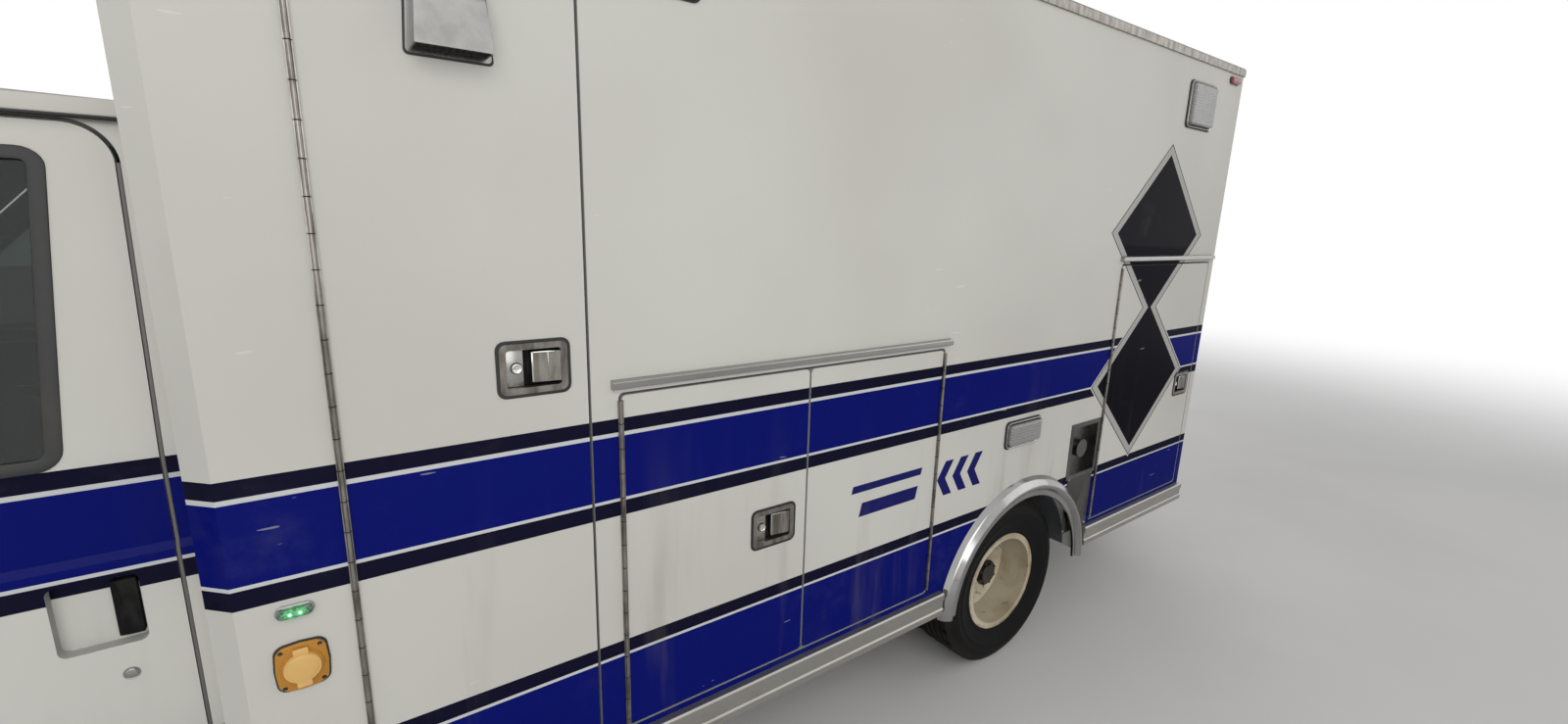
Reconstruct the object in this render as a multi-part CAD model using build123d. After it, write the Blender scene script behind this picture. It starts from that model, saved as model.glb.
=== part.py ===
from build123d import *
from math import atan2, degrees, hypot
import os

# Box-module ambulance on a van cutaway chassis with twin rear wheels.
# X is forward, Y is to the vehicle's left, Z is up from the floor, all in millimetres.

# Running gear
WHEELBASE = 4013.0
REAR_AXLE_X = -1485.0
FRONT_AXLE_X = REAR_AXLE_X + WHEELBASE
TYRE_DIAMETER = 742.0
TYRE_WIDTH = 222.0
TREAD_WIDTH = 172.0
SHOULDER_DROP = 40.0
BEAD_SEAT_DIAMETER = 406.4
RIM_FLANGE_DIAMETER = 443.0
RIM_WIDTH = 180.0
RIM_THICKNESS = 7.0
FLANGE_TAPER = 8.0
BEAD_WIDTH = 151.0
DISC_THICKNESS = 10.0
DISC_OFFSET = 133.5
DISC_PLATE_DIAMETER = 250.0
DISC_RIM_DEPTH = 62.0
HAND_HOLE_COUNT = 5
HAND_HOLE_DIAMETER = 40.0
HAND_HOLE_CIRCLE = 318.0
FRONT_TYRE_Y = 860.0
REAR_OUTER_TYRE_Y = 1067.0
REAR_HUB_DIAMETER = 150.0
REAR_HUB_NOSE = 78.0
REAR_HUB_INNER = 50.0
FRONT_HUB_DIAMETER = 130.0
FRONT_HUB_NOSE = 34.0
FRONT_HUB_LENGTH = 90.0
HUB_WALL = 18.0
HUB_CLEARANCE = 0.4
DRUM_DIAMETER = 330.0
DRUM_WIDTH = 120.0
DRUM_WALL = 12.0
BACKING_GAP = 6.0
BACKING_THICKNESS = 14.0
AXLE_TUBE_DIAMETER = 100.0
DIFFERENTIAL_DIAMETER = 330.0
DIFFERENTIAL_WIDTH = 250.0
DIFFERENTIAL_NECK = 0.55
DIFFERENTIAL_CROWN = 0.4
SPRING_SPAN = 1400.0
SPRING_WIDTH = 76.0
SPRING_THICKNESS = 58.0
SPRING_RISE = 110.0
SPRING_Y = 522.0
DRIVE_SHAFT_DIAMETER = 90.0
SPINDLE_DIAMETER = 60.0
KINGPIN_Y = 790.0
KINGPIN_DIAMETER = 35.0
KINGPIN_CLEARANCE = 0.3
KNUCKLE_BOSS_DIAMETER = 76.0
BEAM_BOSS_HEIGHT = 120.0
YOKE_THICKNESS = 38.0
YOKE_GAP = 0.4
YOKE_REACH = 62.0
BEAM_HEIGHT = 84.0
BEAM_WIDTH = 80.0
BEAM_WEB = 24.0
BEAM_FLANGE = 20.0
STEERING_ARM_LENGTH = 120.0
STEERING_ARM_WIDTH = 34.0
STEERING_ARM_THICKNESS = 22.0
STEERING_ARM_DROP = 78.0
TIE_ROD_DIAMETER = 22.0
TIE_ROD_EYE_DIAMETER = 44.0
TIE_ROD_EYE_HEIGHT = 24.0
TIE_ROD_PIN_DIAMETER = 18.0
TIE_ROD_PIN_CLEARANCE = 0.4

# Chassis frame
RAIL_OUTER_Y = 432.0
RAIL_FLANGE = 65.0
RAIL_THICKNESS = 7.0
RAIL_BOTTOM_Z = 510.0
RAIL_HEIGHT = 170.0
FRONT_RAIL_BOTTOM_Z = 470.0
FRONT_RAIL_HEIGHT = 140.0
RAIL_REAR_X = -3020.0
RAIL_FRONT_X = 3112.0
RAIL_STEP_X = 1960.0
RAIL_STEP_LENGTH = 240.0
CROSS_TUBE = 64.0
CROSS_TUBE_X = (-2880.0, -2250.0, -640.0, 240.0, 1010.0, 1430.0)
BODY_MOUNT_SIZE = 58.0
BODY_MOUNT_X = (-2800.0, -2100.0, -860.0, 100.0, 900.0)
CAB_MOUNT_X = (1300.0, 1880.0)
TOW_EYE_RADIUS = 17.0
TOW_EYE_PLATE = 16.0
TOW_EYE_WIDTH = 70.0
TOW_EYE_Z = 400.0
TOW_EYE_INSET = 46.0

# Module box
MODULE_FRONT_X = 1085.0
MODULE_REAR_X = -3025.0
MODULE_HALF_WIDTH = 1219.0
MODULE_SILL_Z = 430.0
MODULE_WALL_TOP_Z = 2658.0
MODULE_ROOF_Z = 2700.0
ROOF_OVERHANG = 8.0
ROOF_EDGE_RADIUS = 18.0
WALL = 45.0
CORNER_CHAMFER = 42.0
FLOOR_TOP_Z = 860.0
FLOOR_THICKNESS = 60.0
ARCH_CENTRE_Z = 378.0
ARCH_RADIUS = 440.0
TUB_CLEARANCE = 5.0
TUB_THICKNESS = 6.0
FENDERETTE_WIDTH = 62.0
FENDERETTE_DEPTH = 44.0
FENDERETTE_BOTTOM_Z = 400.0
FLARE_WIDTH = 20.0
FLARE_DEPTH = 22.0
PASSAGE_HALF_WIDTH = 420.0
PASSAGE_BOTTOM_Z = 900.0
PASSAGE_TOP_Z = 1860.0
BOOT_WALL = 26.0
UNDER_HALF_WIDTH = 620.0
RUB_RAIL_TOP_Z = 526.0
RUB_RAIL_HEIGHT = 94.0
RUB_RAIL_DEPTH = 26.0
RUB_RAIL_GROOVE = 5.0
DRIP_RAIL_HEIGHT = 22.0
DRIP_RAIL_DEPTH = 18.0
DRIP_RAIL_DIP = 6.6
DRIP_RAIL_RADIUS = 3.0

# Doors in the module
DOOR_GAP = 7.0
DOOR_CORNER_RADIUS = 14.0
HINGE_RISE = 6.0
HINGE_PIN_DIAMETER = 9.0
HINGE_LEAF_WIDTH = 6.5
HINGE_KNUCKLE = 150.0
LATCH_WIDTH = 146.0
LATCH_HEIGHT = 113.0
LATCH_BEZEL = 14.0
LATCH_PROUD = 3.0
LATCH_POCKET_DEPTH = 24.0
LATCH_PADDLE_WIDTH = 62.0
LATCH_PADDLE_DROP = 8.0
LATCH_LOCK_DIAMETER = 24.0
DOOR_PAN_MARGIN = 48.0
DOOR_PAN_DEPTH = 8.0
COMPARTMENT_DEPTH = 520.0
COMPARTMENT_SHEET = 4.0
COMPARTMENT_CLEARANCE = 6.0
ENTRY_WINDOW = (330.0, 730.0, 1560.0, 2080.0)
GLASS_THICKNESS = 6.0
GLASS_SETBACK = 6.0
REAR_DOOR_HALF_WIDTH = 600.0
REAR_DOOR_BOTTOM_Z = 842.0
REAR_DOOR_TOP_Z = 2345.0
REAR_WINDOW = (95.0, 505.0, 1500.0, 2060.0)
WINDOW_CORNER_RADIUS = 50.0

# Cab
CAB_GAP = 20.0
CAB_REAR_X = MODULE_FRONT_X + CAB_GAP
CAB_HALF_WIDTH = 1012.0
CAB_WALL = 60.0
CAB_BACK_WALL = 22.0
ROCKER_Z = 450.0
CAB_ROOF_Z = 2108.0
CAB_ROOF_CROWN = 30.0
CAB_ROOF_FALL = 12.0
CREASE_Z = 1240.0
CREASE_DEPTH = 8.0
BELT_Z = 1430.0
WINDSHIELD_TOP_X = 1640.0
COWL_X = 2330.0
COWL_Z = 1370.0
HOOD_FRONT_X = 3085.0
HOOD_FRONT_Z = 1212.0
NOSE_X = 3165.0
NOSE_TOP_Z = 1120.0
NOSE_BOTTOM_Z = 655.0
NOSE_LEAN = 12.0
NOSE_STEP = 180.0
FRONT_ARCH_RADIUS = 440.0
CAB_DOOR_REAR_X = 1135.0
CAB_DOOR_FRONT_X = 2060.0
CAB_DOOR_BOTTOM_Z = 482.0
CAB_DOOR_TOP_Z = 2043.0
CAB_DOOR_GAP = 8.0
CAB_DOOR_RABBET = 20.0
CAB_DOOR_SKIN = 20.0
CAB_FLOOR_Z = 740.0
CAB_FLOOR_THICKNESS = 50.0
CAB_FLOOR_HALF_WIDTH = 800.0
FLOOR_RISER = 30.0
FIREWALL = 40.0
HOOD_HALF_WIDTH = 800.0
HOOD_GAP = 8.0
HOOD_SWING_CLEARANCE = 6.0
HOOD_SPLIT_Z = 1340.0
BUMPER_FRONT_X = 3275.0
BUMPER_REAR_X = 3015.0
BUMPER_CORNER_X = 3153.0
BUMPER_HALF_WIDTH = 1004.0
BUMPER_FACE_HALF_WIDTH = 822.0
BUMPER_BOTTOM_Z = 440.0
BUMPER_TOP_Z = 636.0
BUMPER_SHEET = 12.0
REAR_STEP_X = -3275.0
REAR_STEP_HALF_WIDTH = 1120.0
REAR_STEP_TOP_Z = 572.0
REAR_STEP_HEIGHT = 120.0
REAR_STEP_GAP = 5.0
REAR_STEP_SHEET = 6.0

AXLE_Z = TYRE_DIAMETER / 2
OUT = 4000.0
MERGE = 1.0
PIECE_GAP = 0.3


def block(x, y, z):
    """Block from its low and high X, Y and Z."""
    centre = [(low + high) / 2 for low, high in (x, y, z)]
    size = [high - low for low, high in (x, y, z)]
    return Pos(*centre) * Box(*size)


def outline(*corners):
    """Closed outline from corners of across, up and corner radius."""
    points = [(across, up) for across, up, _ in corners]
    radii = [radius for *_, radius in corners]
    return make_face(FilletPolyline(*points, radius=radii, close=True))


def both_halves(*rows):
    """Rows of half width, height and radius, closed across the centre line."""
    right = [(-half, height, radius) for half, height, radius in reversed(rows) if half > 0]
    return outline(*rows, *right)


def along_x(sketch, low, high):
    """Extrudes an outline of Y across and Z up from one X to another."""
    return extrude(Plane.YZ.offset(low) * sketch, high - low)


def along_y(sketch, low, high):
    """Extrudes an outline of X across and Z up from one Y to another."""
    return extrude(Plane.XZ.offset(-high) * sketch, high - low)


def along_z(sketch, low, high):
    """Extrudes an outline of X across and Y up from one Z to another."""
    return extrude(Plane.XY.offset(low) * sketch, high - low)


def window_outline(low, high, bottom, top, radius):
    """Rectangle with rounded corners from its edges."""
    middle = ((low + high) / 2, (bottom + top) / 2)
    return Pos(*middle) * RectangleRounded(high - low, top - bottom, radius)


def cylinder_y(x, z, low, high, diameter):
    """Round bar along Y."""
    return along_y(Pos(x, z) * Circle(diameter / 2), low, high)


def cylinder_z(x, y, low, high, diameter):
    """Round bar along Z."""
    return along_z(Pos(x, y) * Circle(diameter / 2), low, high)


def right_of(solid):
    """The same piece on the vehicle's right."""
    return mirror(solid, about=Plane.XZ)


def ring_of(*corners):
    """Turns an outline of radius and axial place about the Y axis."""
    return revolve(outline(*corners), axis=Axis.Y)


# Wheels and tyres, with the wheel's own centre at Y zero and its disc towards +Y

def tyre():
    """Tyre section from bead to tread."""
    tread = TREAD_WIDTH / 2
    bead_radius = BEAD_SEAT_DIAMETER / 2 + PIECE_GAP
    tread_radius = TYRE_DIAMETER / 2
    shoulder_radius = tread_radius - SHOULDER_DROP
    return ring_of(
        (bead_radius, -BEAD_WIDTH / 2, 0),
        (shoulder_radius, -TYRE_WIDTH / 2, 0),
        (tread_radius, -tread, 0),
        (tread_radius, tread, 0),
        (shoulder_radius, TYRE_WIDTH / 2, 0),
        (bead_radius, BEAD_WIDTH / 2, 0),
    )


def steel_wheel():
    """Rim with its lips, and a dished disc with hand holes."""
    seat = BEAD_SEAT_DIAMETER / 2
    lip = RIM_FLANGE_DIAMETER / 2
    inner = seat - RIM_THICKNESS
    edge = RIM_WIDTH / 2
    rim = ring_of(
        (inner, -edge, 0),
        (lip, -edge, 0),
        (seat, -edge + FLANGE_TAPER, 0),
        (seat, edge - FLANGE_TAPER, 0),
        (lip, edge, 0),
        (inner, edge, 0),
    )
    plate = DISC_PLATE_DIAMETER / 2
    back = DISC_OFFSET - DISC_THICKNESS
    bore = plate / 2
    disc = ring_of(
        (bore, back, 0),
        (plate, back, 0),
        (inner + MERGE, DISC_RIM_DEPTH - DISC_THICKNESS, 0),
        (inner + MERGE, DISC_RIM_DEPTH, 0),
        (plate, DISC_OFFSET, 0),
        (bore, DISC_OFFSET, 0),
    )
    for turn in range(HAND_HOLE_COUNT):
        angle = 360 * turn / HAND_HOLE_COUNT
        hole = cylinder_y(HAND_HOLE_CIRCLE / 2, 0, 0, OUT, HAND_HOLE_DIAMETER)
        disc -= Rot(0, angle, 0) * hole
    return rim + disc


def rear_wheel_pair():
    """Both wheels of one side with hub and drum, outer wheel dished outwards."""
    face = REAR_OUTER_TYRE_Y - DISC_OFFSET
    outer = Pos(0, REAR_OUTER_TYRE_Y, 0) * mirror(steel_wheel(), about=Plane.XZ)
    inner = Pos(0, face - DISC_OFFSET, 0) * steel_wheel()
    bore = AXLE_TUBE_DIAMETER / 2 + HUB_CLEARANCE
    drum = DRUM_DIAMETER / 2
    hub_inner = face - DISC_THICKNESS - REAR_HUB_INNER
    drum_outer = face - DISC_THICKNESS - RIM_THICKNESS
    hub = ring_of(
        (0, face + REAR_HUB_NOSE, 0),
        (REAR_HUB_DIAMETER / 2, face + REAR_HUB_NOSE, 0),
        (REAR_HUB_DIAMETER / 2, face - DISC_THICKNESS, 0),
        (drum, drum_outer, 0),
        (drum, drum_outer - DRUM_WIDTH, 0),
        (drum - DRUM_WALL, drum_outer - DRUM_WIDTH, 0),
        (drum - DRUM_WALL, drum_outer - DRUM_WALL, 0),
        (bore + HUB_WALL, drum_outer - DRUM_WALL, 0),
        (bore + HUB_WALL, hub_inner, 0),
        (bore, hub_inner, 0),
        (bore, face, 0),
        (0, face, 0),
    )
    return Pos(REAR_AXLE_X, 0, AXLE_Z) * (outer + inner + hub)


def rear_tyre_pair():
    """Two tyres side by side."""
    inner_y = REAR_OUTER_TYRE_Y - 2 * DISC_OFFSET
    places = (REAR_OUTER_TYRE_Y, inner_y)
    return [Pos(REAR_AXLE_X, place, AXLE_Z) * tyre() for place in places]


def front_wheel():
    """Front wheel with its disc outwards, on a hub over the spindle."""
    face = FRONT_TYRE_Y + DISC_OFFSET - DISC_THICKNESS
    bore = SPINDLE_DIAMETER / 2 + HUB_CLEARANCE
    hub = ring_of(
        (0, face + FRONT_HUB_NOSE, 0),
        (FRONT_HUB_DIAMETER / 2, face + FRONT_HUB_NOSE, 0),
        (FRONT_HUB_DIAMETER / 2, face, 0),
        (DISC_PLATE_DIAMETER / 2 - FLANGE_TAPER, face, 0),
        (DISC_PLATE_DIAMETER / 2 - FLANGE_TAPER, face - DISC_THICKNESS, 0),
        (bore + HUB_WALL, face - DISC_THICKNESS, 0),
        (bore + HUB_WALL, face - FRONT_HUB_LENGTH, 0),
        (bore, face - FRONT_HUB_LENGTH, 0),
        (bore, face, 0),
        (0, face, 0),
    )
    wheel = Pos(0, FRONT_TYRE_Y, 0) * steel_wheel()
    return Pos(FRONT_AXLE_X, 0, AXLE_Z) * (wheel + hub)


def front_tyre():
    """Front tyre."""
    return Pos(FRONT_AXLE_X, FRONT_TYRE_Y, AXLE_Z) * tyre()


# Axles, springs and steering

ARM_TOP_Z = AXLE_Z - STEERING_ARM_DROP
TIE_ROD_X = FRONT_AXLE_X - STEERING_ARM_LENGTH


def knuckle():
    """Yoke, kingpin, spindle and steering arm of the left front wheel."""
    half_boss = BEAM_BOSS_HEIGHT / 2 + YOKE_GAP
    reach = half_boss + YOKE_THICKNESS
    boss_radius = KNUCKLE_BOSS_DIAMETER / 2
    yoke = along_z(
        Pos(FRONT_AXLE_X, KINGPIN_Y) * Circle(boss_radius)
        + Pos(FRONT_AXLE_X, KINGPIN_Y + YOKE_REACH / 2)
        * Rectangle(KNUCKLE_BOSS_DIAMETER, YOKE_REACH),
        AXLE_Z - reach,
        AXLE_Z + reach,
    )
    relief = block(
        (FRONT_AXLE_X - OUT, FRONT_AXLE_X + OUT),
        (KINGPIN_Y - OUT, KINGPIN_Y + boss_radius + 4 * YOKE_GAP),
        (AXLE_Z - half_boss, AXLE_Z + half_boss),
    )
    pin = cylinder_z(FRONT_AXLE_X, KINGPIN_Y, AXLE_Z - reach, AXLE_Z + reach, KINGPIN_DIAMETER)
    face = FRONT_TYRE_Y + DISC_OFFSET - DISC_THICKNESS
    spindle = cylinder_y(
        FRONT_AXLE_X, AXLE_Z, KINGPIN_Y + YOKE_REACH - YOKE_GAP, face - YOKE_GAP, SPINDLE_DIAMETER
    )
    half_arm = STEERING_ARM_WIDTH / 2
    arm = block(
        (TIE_ROD_X, FRONT_AXLE_X),
        (KINGPIN_Y - half_arm, KINGPIN_Y + half_arm),
        (ARM_TOP_Z - STEERING_ARM_THICKNESS, ARM_TOP_Z),
    )
    arm += cylinder_z(
        TIE_ROD_X, KINGPIN_Y, ARM_TOP_Z - STEERING_ARM_THICKNESS, ARM_TOP_Z, STEERING_ARM_WIDTH
    )
    ball = cylinder_z(
        TIE_ROD_X,
        KINGPIN_Y,
        ARM_TOP_Z,
        ARM_TOP_Z + YOKE_GAP + TIE_ROD_EYE_HEIGHT,
        TIE_ROD_PIN_DIAMETER,
    )
    return (yoke - relief) + pin + spindle + arm + ball


def tie_rod():
    """Rod between the two steering arms, with an eye at each end."""
    low = ARM_TOP_Z + YOKE_GAP
    high = low + TIE_ROD_EYE_HEIGHT
    middle = (low + high) / 2
    rod = cylinder_y(TIE_ROD_X, middle, -KINGPIN_Y, KINGPIN_Y, TIE_ROD_DIAMETER)
    hole = TIE_ROD_PIN_DIAMETER + 2 * TIE_ROD_PIN_CLEARANCE
    for side in (-KINGPIN_Y, KINGPIN_Y):
        rod += cylinder_z(TIE_ROD_X, side, low, high, TIE_ROD_EYE_DIAMETER)
        rod -= cylinder_z(TIE_ROD_X, side, low - MERGE, high + MERGE, hole)
    return rod


def front_axle():
    """I-section beam with a boss for each kingpin."""
    half = BEAM_HEIGHT / 2
    beam = block(
        (FRONT_AXLE_X - BEAM_WIDTH / 2, FRONT_AXLE_X + BEAM_WIDTH / 2),
        (-KINGPIN_Y + KNUCKLE_BOSS_DIAMETER / 4, KINGPIN_Y - KNUCKLE_BOSS_DIAMETER / 4),
        (AXLE_Z - half, AXLE_Z + half),
    )
    span = KINGPIN_Y - KNUCKLE_BOSS_DIAMETER
    for front, rear in ((BEAM_WEB / 2, BEAM_WIDTH), (-BEAM_WIDTH, -BEAM_WEB / 2)):
        beam -= block(
            (FRONT_AXLE_X + front, FRONT_AXLE_X + rear),
            (-span, span),
            (AXLE_Z - half + BEAM_FLANGE, AXLE_Z + half - BEAM_FLANGE),
        )
    boss = BEAM_BOSS_HEIGHT / 2
    hole = KINGPIN_DIAMETER + 2 * KINGPIN_CLEARANCE
    for side in (-KINGPIN_Y, KINGPIN_Y):
        beam += cylinder_z(FRONT_AXLE_X, side, AXLE_Z - boss, AXLE_Z + boss, KNUCKLE_BOSS_DIAMETER)
        beam -= cylinder_z(FRONT_AXLE_X, side, AXLE_Z - 2 * boss, AXLE_Z + 2 * boss, hole)
    top = FRONT_RAIL_BOTTOM_Z
    for side in (-1, 1):
        spring_y = side * (RAIL_OUTER_Y - RAIL_FLANGE / 2)
        beam += cylinder_z(FRONT_AXLE_X, spring_y, AXLE_Z + half, top, RAIL_FLANGE)
    return beam


SPRING_SEAT_Z = AXLE_Z + AXLE_TUBE_DIAMETER / 2 + PIECE_GAP
SPRING_EYE_Z = SPRING_SEAT_Z + SPRING_THICKNESS + SPRING_RISE


def leaf_spring():
    """Left leaf spring as one bow that is thinner at its ends."""
    rear_x = REAR_AXLE_X - SPRING_SPAN / 2
    front_x = REAR_AXLE_X + SPRING_SPAN / 2
    top = SPRING_SEAT_Z + SPRING_THICKNESS
    tip = SPRING_EYE_Z - SPRING_THICKNESS / 3
    lower = ThreePointArc((rear_x, tip), (REAR_AXLE_X, SPRING_SEAT_Z), (front_x, tip))
    upper = ThreePointArc((front_x, SPRING_EYE_Z), (REAR_AXLE_X, top), (rear_x, SPRING_EYE_Z))
    sides = (Line(lower @ 1, upper @ 0), Line(upper @ 1, lower @ 0))
    return along_y(
        make_face([lower, sides[0], upper, sides[1]]),
        SPRING_Y - SPRING_WIDTH / 2,
        SPRING_Y + SPRING_WIDTH / 2,
    )


def drive_shaft(start_x, end_x):
    """Round shaft from the differential up to the gearbox, cut square to the vehicle."""
    middle = ((start_x + end_x) / 2, (AXLE_Z + GEARBOX_Z) / 2)
    slope = degrees(atan2(GEARBOX_Z - AXLE_Z, end_x - start_x))
    bar = Cylinder(DRIVE_SHAFT_DIAMETER / 2, 2 * (end_x - start_x))
    bar = Pos(middle[0], 0, middle[1]) * Rot(0, 90 - slope, 0) * bar
    return bar & block((start_x, end_x), (-OUT, OUT), (0, OUT))


def rear_axle():
    """Differential, axle tubes, backing plates, leaf springs and drive shaft."""
    face = REAR_OUTER_TYRE_Y - DISC_OFFSET
    half = DIFFERENTIAL_WIDTH / 2
    radius = DIFFERENTIAL_DIAMETER / 2
    differential = Pos(REAR_AXLE_X, 0, AXLE_Z) * ring_of(
        (0, -half, 0),
        (radius * DIFFERENTIAL_NECK, -half, 0),
        (radius, -half * DIFFERENTIAL_CROWN, 0),
        (radius, half * DIFFERENTIAL_CROWN, 0),
        (radius * DIFFERENTIAL_NECK, half, 0),
        (0, half, 0),
    )
    tube = cylinder_y(
        REAR_AXLE_X, AXLE_Z, half + PIECE_GAP, face - MERGE, AXLE_TUBE_DIAMETER
    )
    drum_inner = face - DISC_THICKNESS - RIM_THICKNESS - DRUM_WIDTH
    plate_high = drum_inner - BACKING_GAP
    low = plate_high - BACKING_THICKNESS
    plate = cylinder_y(REAR_AXLE_X, AXLE_Z, low, plate_high, DRUM_DIAMETER)
    hole = AXLE_TUBE_DIAMETER + 2 * PIECE_GAP
    plate -= cylinder_y(REAR_AXLE_X, AXLE_Z, low - MERGE, plate_high + MERGE, hole)
    left = [tube, plate, leaf_spring()]
    shaft = drive_shaft(REAR_AXLE_X + radius + PIECE_GAP, ENGINE_REAR_X)
    return [differential, shaft, *left, *[right_of(piece) for piece in left]]


# Engine and gearbox, one plain block each
ENGINE_REAR_X = 1480.0
GEARBOX_FRONT_X = 2110.0
ENGINE_FRONT_X = 2900.0
GEARBOX_HALF_WIDTH = 170.0
GEARBOX_Z = 560.0
GEARBOX_HEIGHT = 230.0
ENGINE_HALF_WIDTH = 310.0
ENGINE_BOTTOM_Z = 500.0
ENGINE_TOP_Z = 1120.0


def engine_block():
    """Engine with the gearbox behind it."""
    engine = block(
        (GEARBOX_FRONT_X, ENGINE_FRONT_X),
        (-ENGINE_HALF_WIDTH, ENGINE_HALF_WIDTH),
        (ENGINE_BOTTOM_Z, ENGINE_TOP_Z),
    )
    gearbox = block(
        (ENGINE_REAR_X, GEARBOX_FRONT_X),
        (-GEARBOX_HALF_WIDTH, GEARBOX_HALF_WIDTH),
        (GEARBOX_Z - GEARBOX_HEIGHT / 2, GEARBOX_Z + GEARBOX_HEIGHT / 2),
    )
    return engine + gearbox


# Chassis frame

def tow_eye(x, rail_z):
    """Plate with an eye below the left rail."""
    across = (RAIL_OUTER_Y - TOW_EYE_PLATE, RAIL_OUTER_Y)
    half = TOW_EYE_WIDTH / 2
    plate = block((x - half, x + half), across, (TOW_EYE_Z, rail_z - PIECE_GAP))
    plate += cylinder_y(x, TOW_EYE_Z, *across, TOW_EYE_WIDTH)
    return plate - cylinder_y(x, TOW_EYE_Z, 0, OUT, 2 * TOW_EYE_RADIUS)


def chassis_frame():
    """Two channel rails with cross tubes, spring hangers, body mounts and tow eyes."""
    rail_top = RAIL_BOTTOM_Z + RAIL_HEIGHT
    front_top = FRONT_RAIL_BOTTOM_Z + FRONT_RAIL_HEIGHT
    step_end = RAIL_STEP_X + RAIL_STEP_LENGTH
    shape = outline(
        (RAIL_REAR_X, RAIL_BOTTOM_Z, 0),
        (RAIL_STEP_X, RAIL_BOTTOM_Z, 0),
        (step_end, FRONT_RAIL_BOTTOM_Z, 0),
        (RAIL_FRONT_X, FRONT_RAIL_BOTTOM_Z, 0),
        (RAIL_FRONT_X, front_top, 0),
        (step_end, front_top, 0),
        (RAIL_STEP_X, rail_top, 0),
        (RAIL_REAR_X, rail_top, 0),
    )
    inner_y = RAIL_OUTER_Y - RAIL_FLANGE
    rail = along_y(shape, inner_y, RAIL_OUTER_Y)
    rail -= along_y(offset(shape, -RAIL_THICKNESS), inner_y - MERGE, RAIL_OUTER_Y - RAIL_THICKNESS)
    left = [rail]
    for end in (-1, 1):
        face = REAR_AXLE_X + end * SPRING_SPAN / 2
        far = face + end * SPRING_THICKNESS
        left.append(
            block(
                (min(face, far), max(face, far)),
                (RAIL_OUTER_Y + PIECE_GAP, SPRING_Y + SPRING_WIDTH / 2),
                (SPRING_EYE_Z - SPRING_THICKNESS, SPRING_EYE_Z + SPRING_THICKNESS / 2),
            )
        )
    half = BODY_MOUNT_SIZE / 2
    mounts = [(x, FLOOR_TOP_Z - FLOOR_THICKNESS) for x in BODY_MOUNT_X]
    mounts += [(x, CAB_FLOOR_Z - CAB_FLOOR_THICKNESS) for x in CAB_MOUNT_X]
    mount_y = (RAIL_OUTER_Y - BODY_MOUNT_SIZE, RAIL_OUTER_Y)
    for x, height in mounts:
        left.append(block((x - half, x + half), mount_y, (rail_top + PIECE_GAP, height)))
    left.append(tow_eye(RAIL_FRONT_X - TOW_EYE_INSET, FRONT_RAIL_BOTTOM_Z))
    left.append(tow_eye(RAIL_REAR_X + TOW_EYE_INSET, RAIL_BOTTOM_Z))
    tube_z = rail_top - RAIL_THICKNESS - PIECE_GAP - CROSS_TUBE
    web = RAIL_OUTER_Y - RAIL_THICKNESS - PIECE_GAP
    tubes = [
        block((x - CROSS_TUBE / 2, x + CROSS_TUBE / 2), (-web, web), (tube_z, tube_z + CROSS_TUBE))
        for x in CROSS_TUBE_X
    ]
    return [*left, *[right_of(piece) for piece in left], *tubes]


# Tank and exhaust
TANK_REAR_X = -2835.0
TANK_LENGTH = 540.0
TANK_BOTTOM_Z = 400.0
TANK_TOP_Z = 700.0
TANK_RADIUS = 55.0
PIPE_DIAMETER = 64.0
PIPE_Y = -240.0
PIPE_Z = 462.0
PIPE_BEND = 110.0
MUFFLER_DIAMETER = 170.0
MUFFLER_REAR_X = 150.0
MUFFLER_LENGTH = 800.0
TAIL_X = -760.0
TAIL_Y = -1190.0
TAIL_Z = 385.0


def fuel_tank():
    """Tank held between the rails behind the rear axle."""
    half = RAIL_OUTER_Y - RAIL_FLANGE - PIECE_GAP
    shape = window_outline(-half, half, TANK_BOTTOM_Z, TANK_TOP_Z, TANK_RADIUS)
    return along_x(shape, TANK_REAR_X, TANK_REAR_X + TANK_LENGTH)


def exhaust():
    """Pipe from the engine through a silencer to the right side."""
    path = FilletPolyline(
        (GEARBOX_FRONT_X, PIPE_Y, ENGINE_BOTTOM_Z + PIPE_DIAMETER),
        (GEARBOX_FRONT_X - PIPE_BEND, PIPE_Y, ENGINE_BOTTOM_Z + PIPE_DIAMETER),
        (GEARBOX_FRONT_X - 3 * PIPE_BEND, PIPE_Y, PIPE_Z),
        (TAIL_X + 4 * PIPE_BEND, PIPE_Y, PIPE_Z),
        (TAIL_X + PIPE_BEND, TAIL_Y / 2, TAIL_Z),
        (TAIL_X, TAIL_Y, TAIL_Z),
        radius=PIPE_BEND,
    )
    start = Plane(origin=path @ 0, z_dir=path % 0)
    pipe = sweep(start * Circle(PIPE_DIAMETER / 2), path=path)
    silencer = Plane.YZ.offset(MUFFLER_REAR_X) * Pos(PIPE_Y, PIPE_Z) * Circle(MUFFLER_DIAMETER / 2)
    return pipe + extrude(silencer, MUFFLER_LENGTH)


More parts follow.
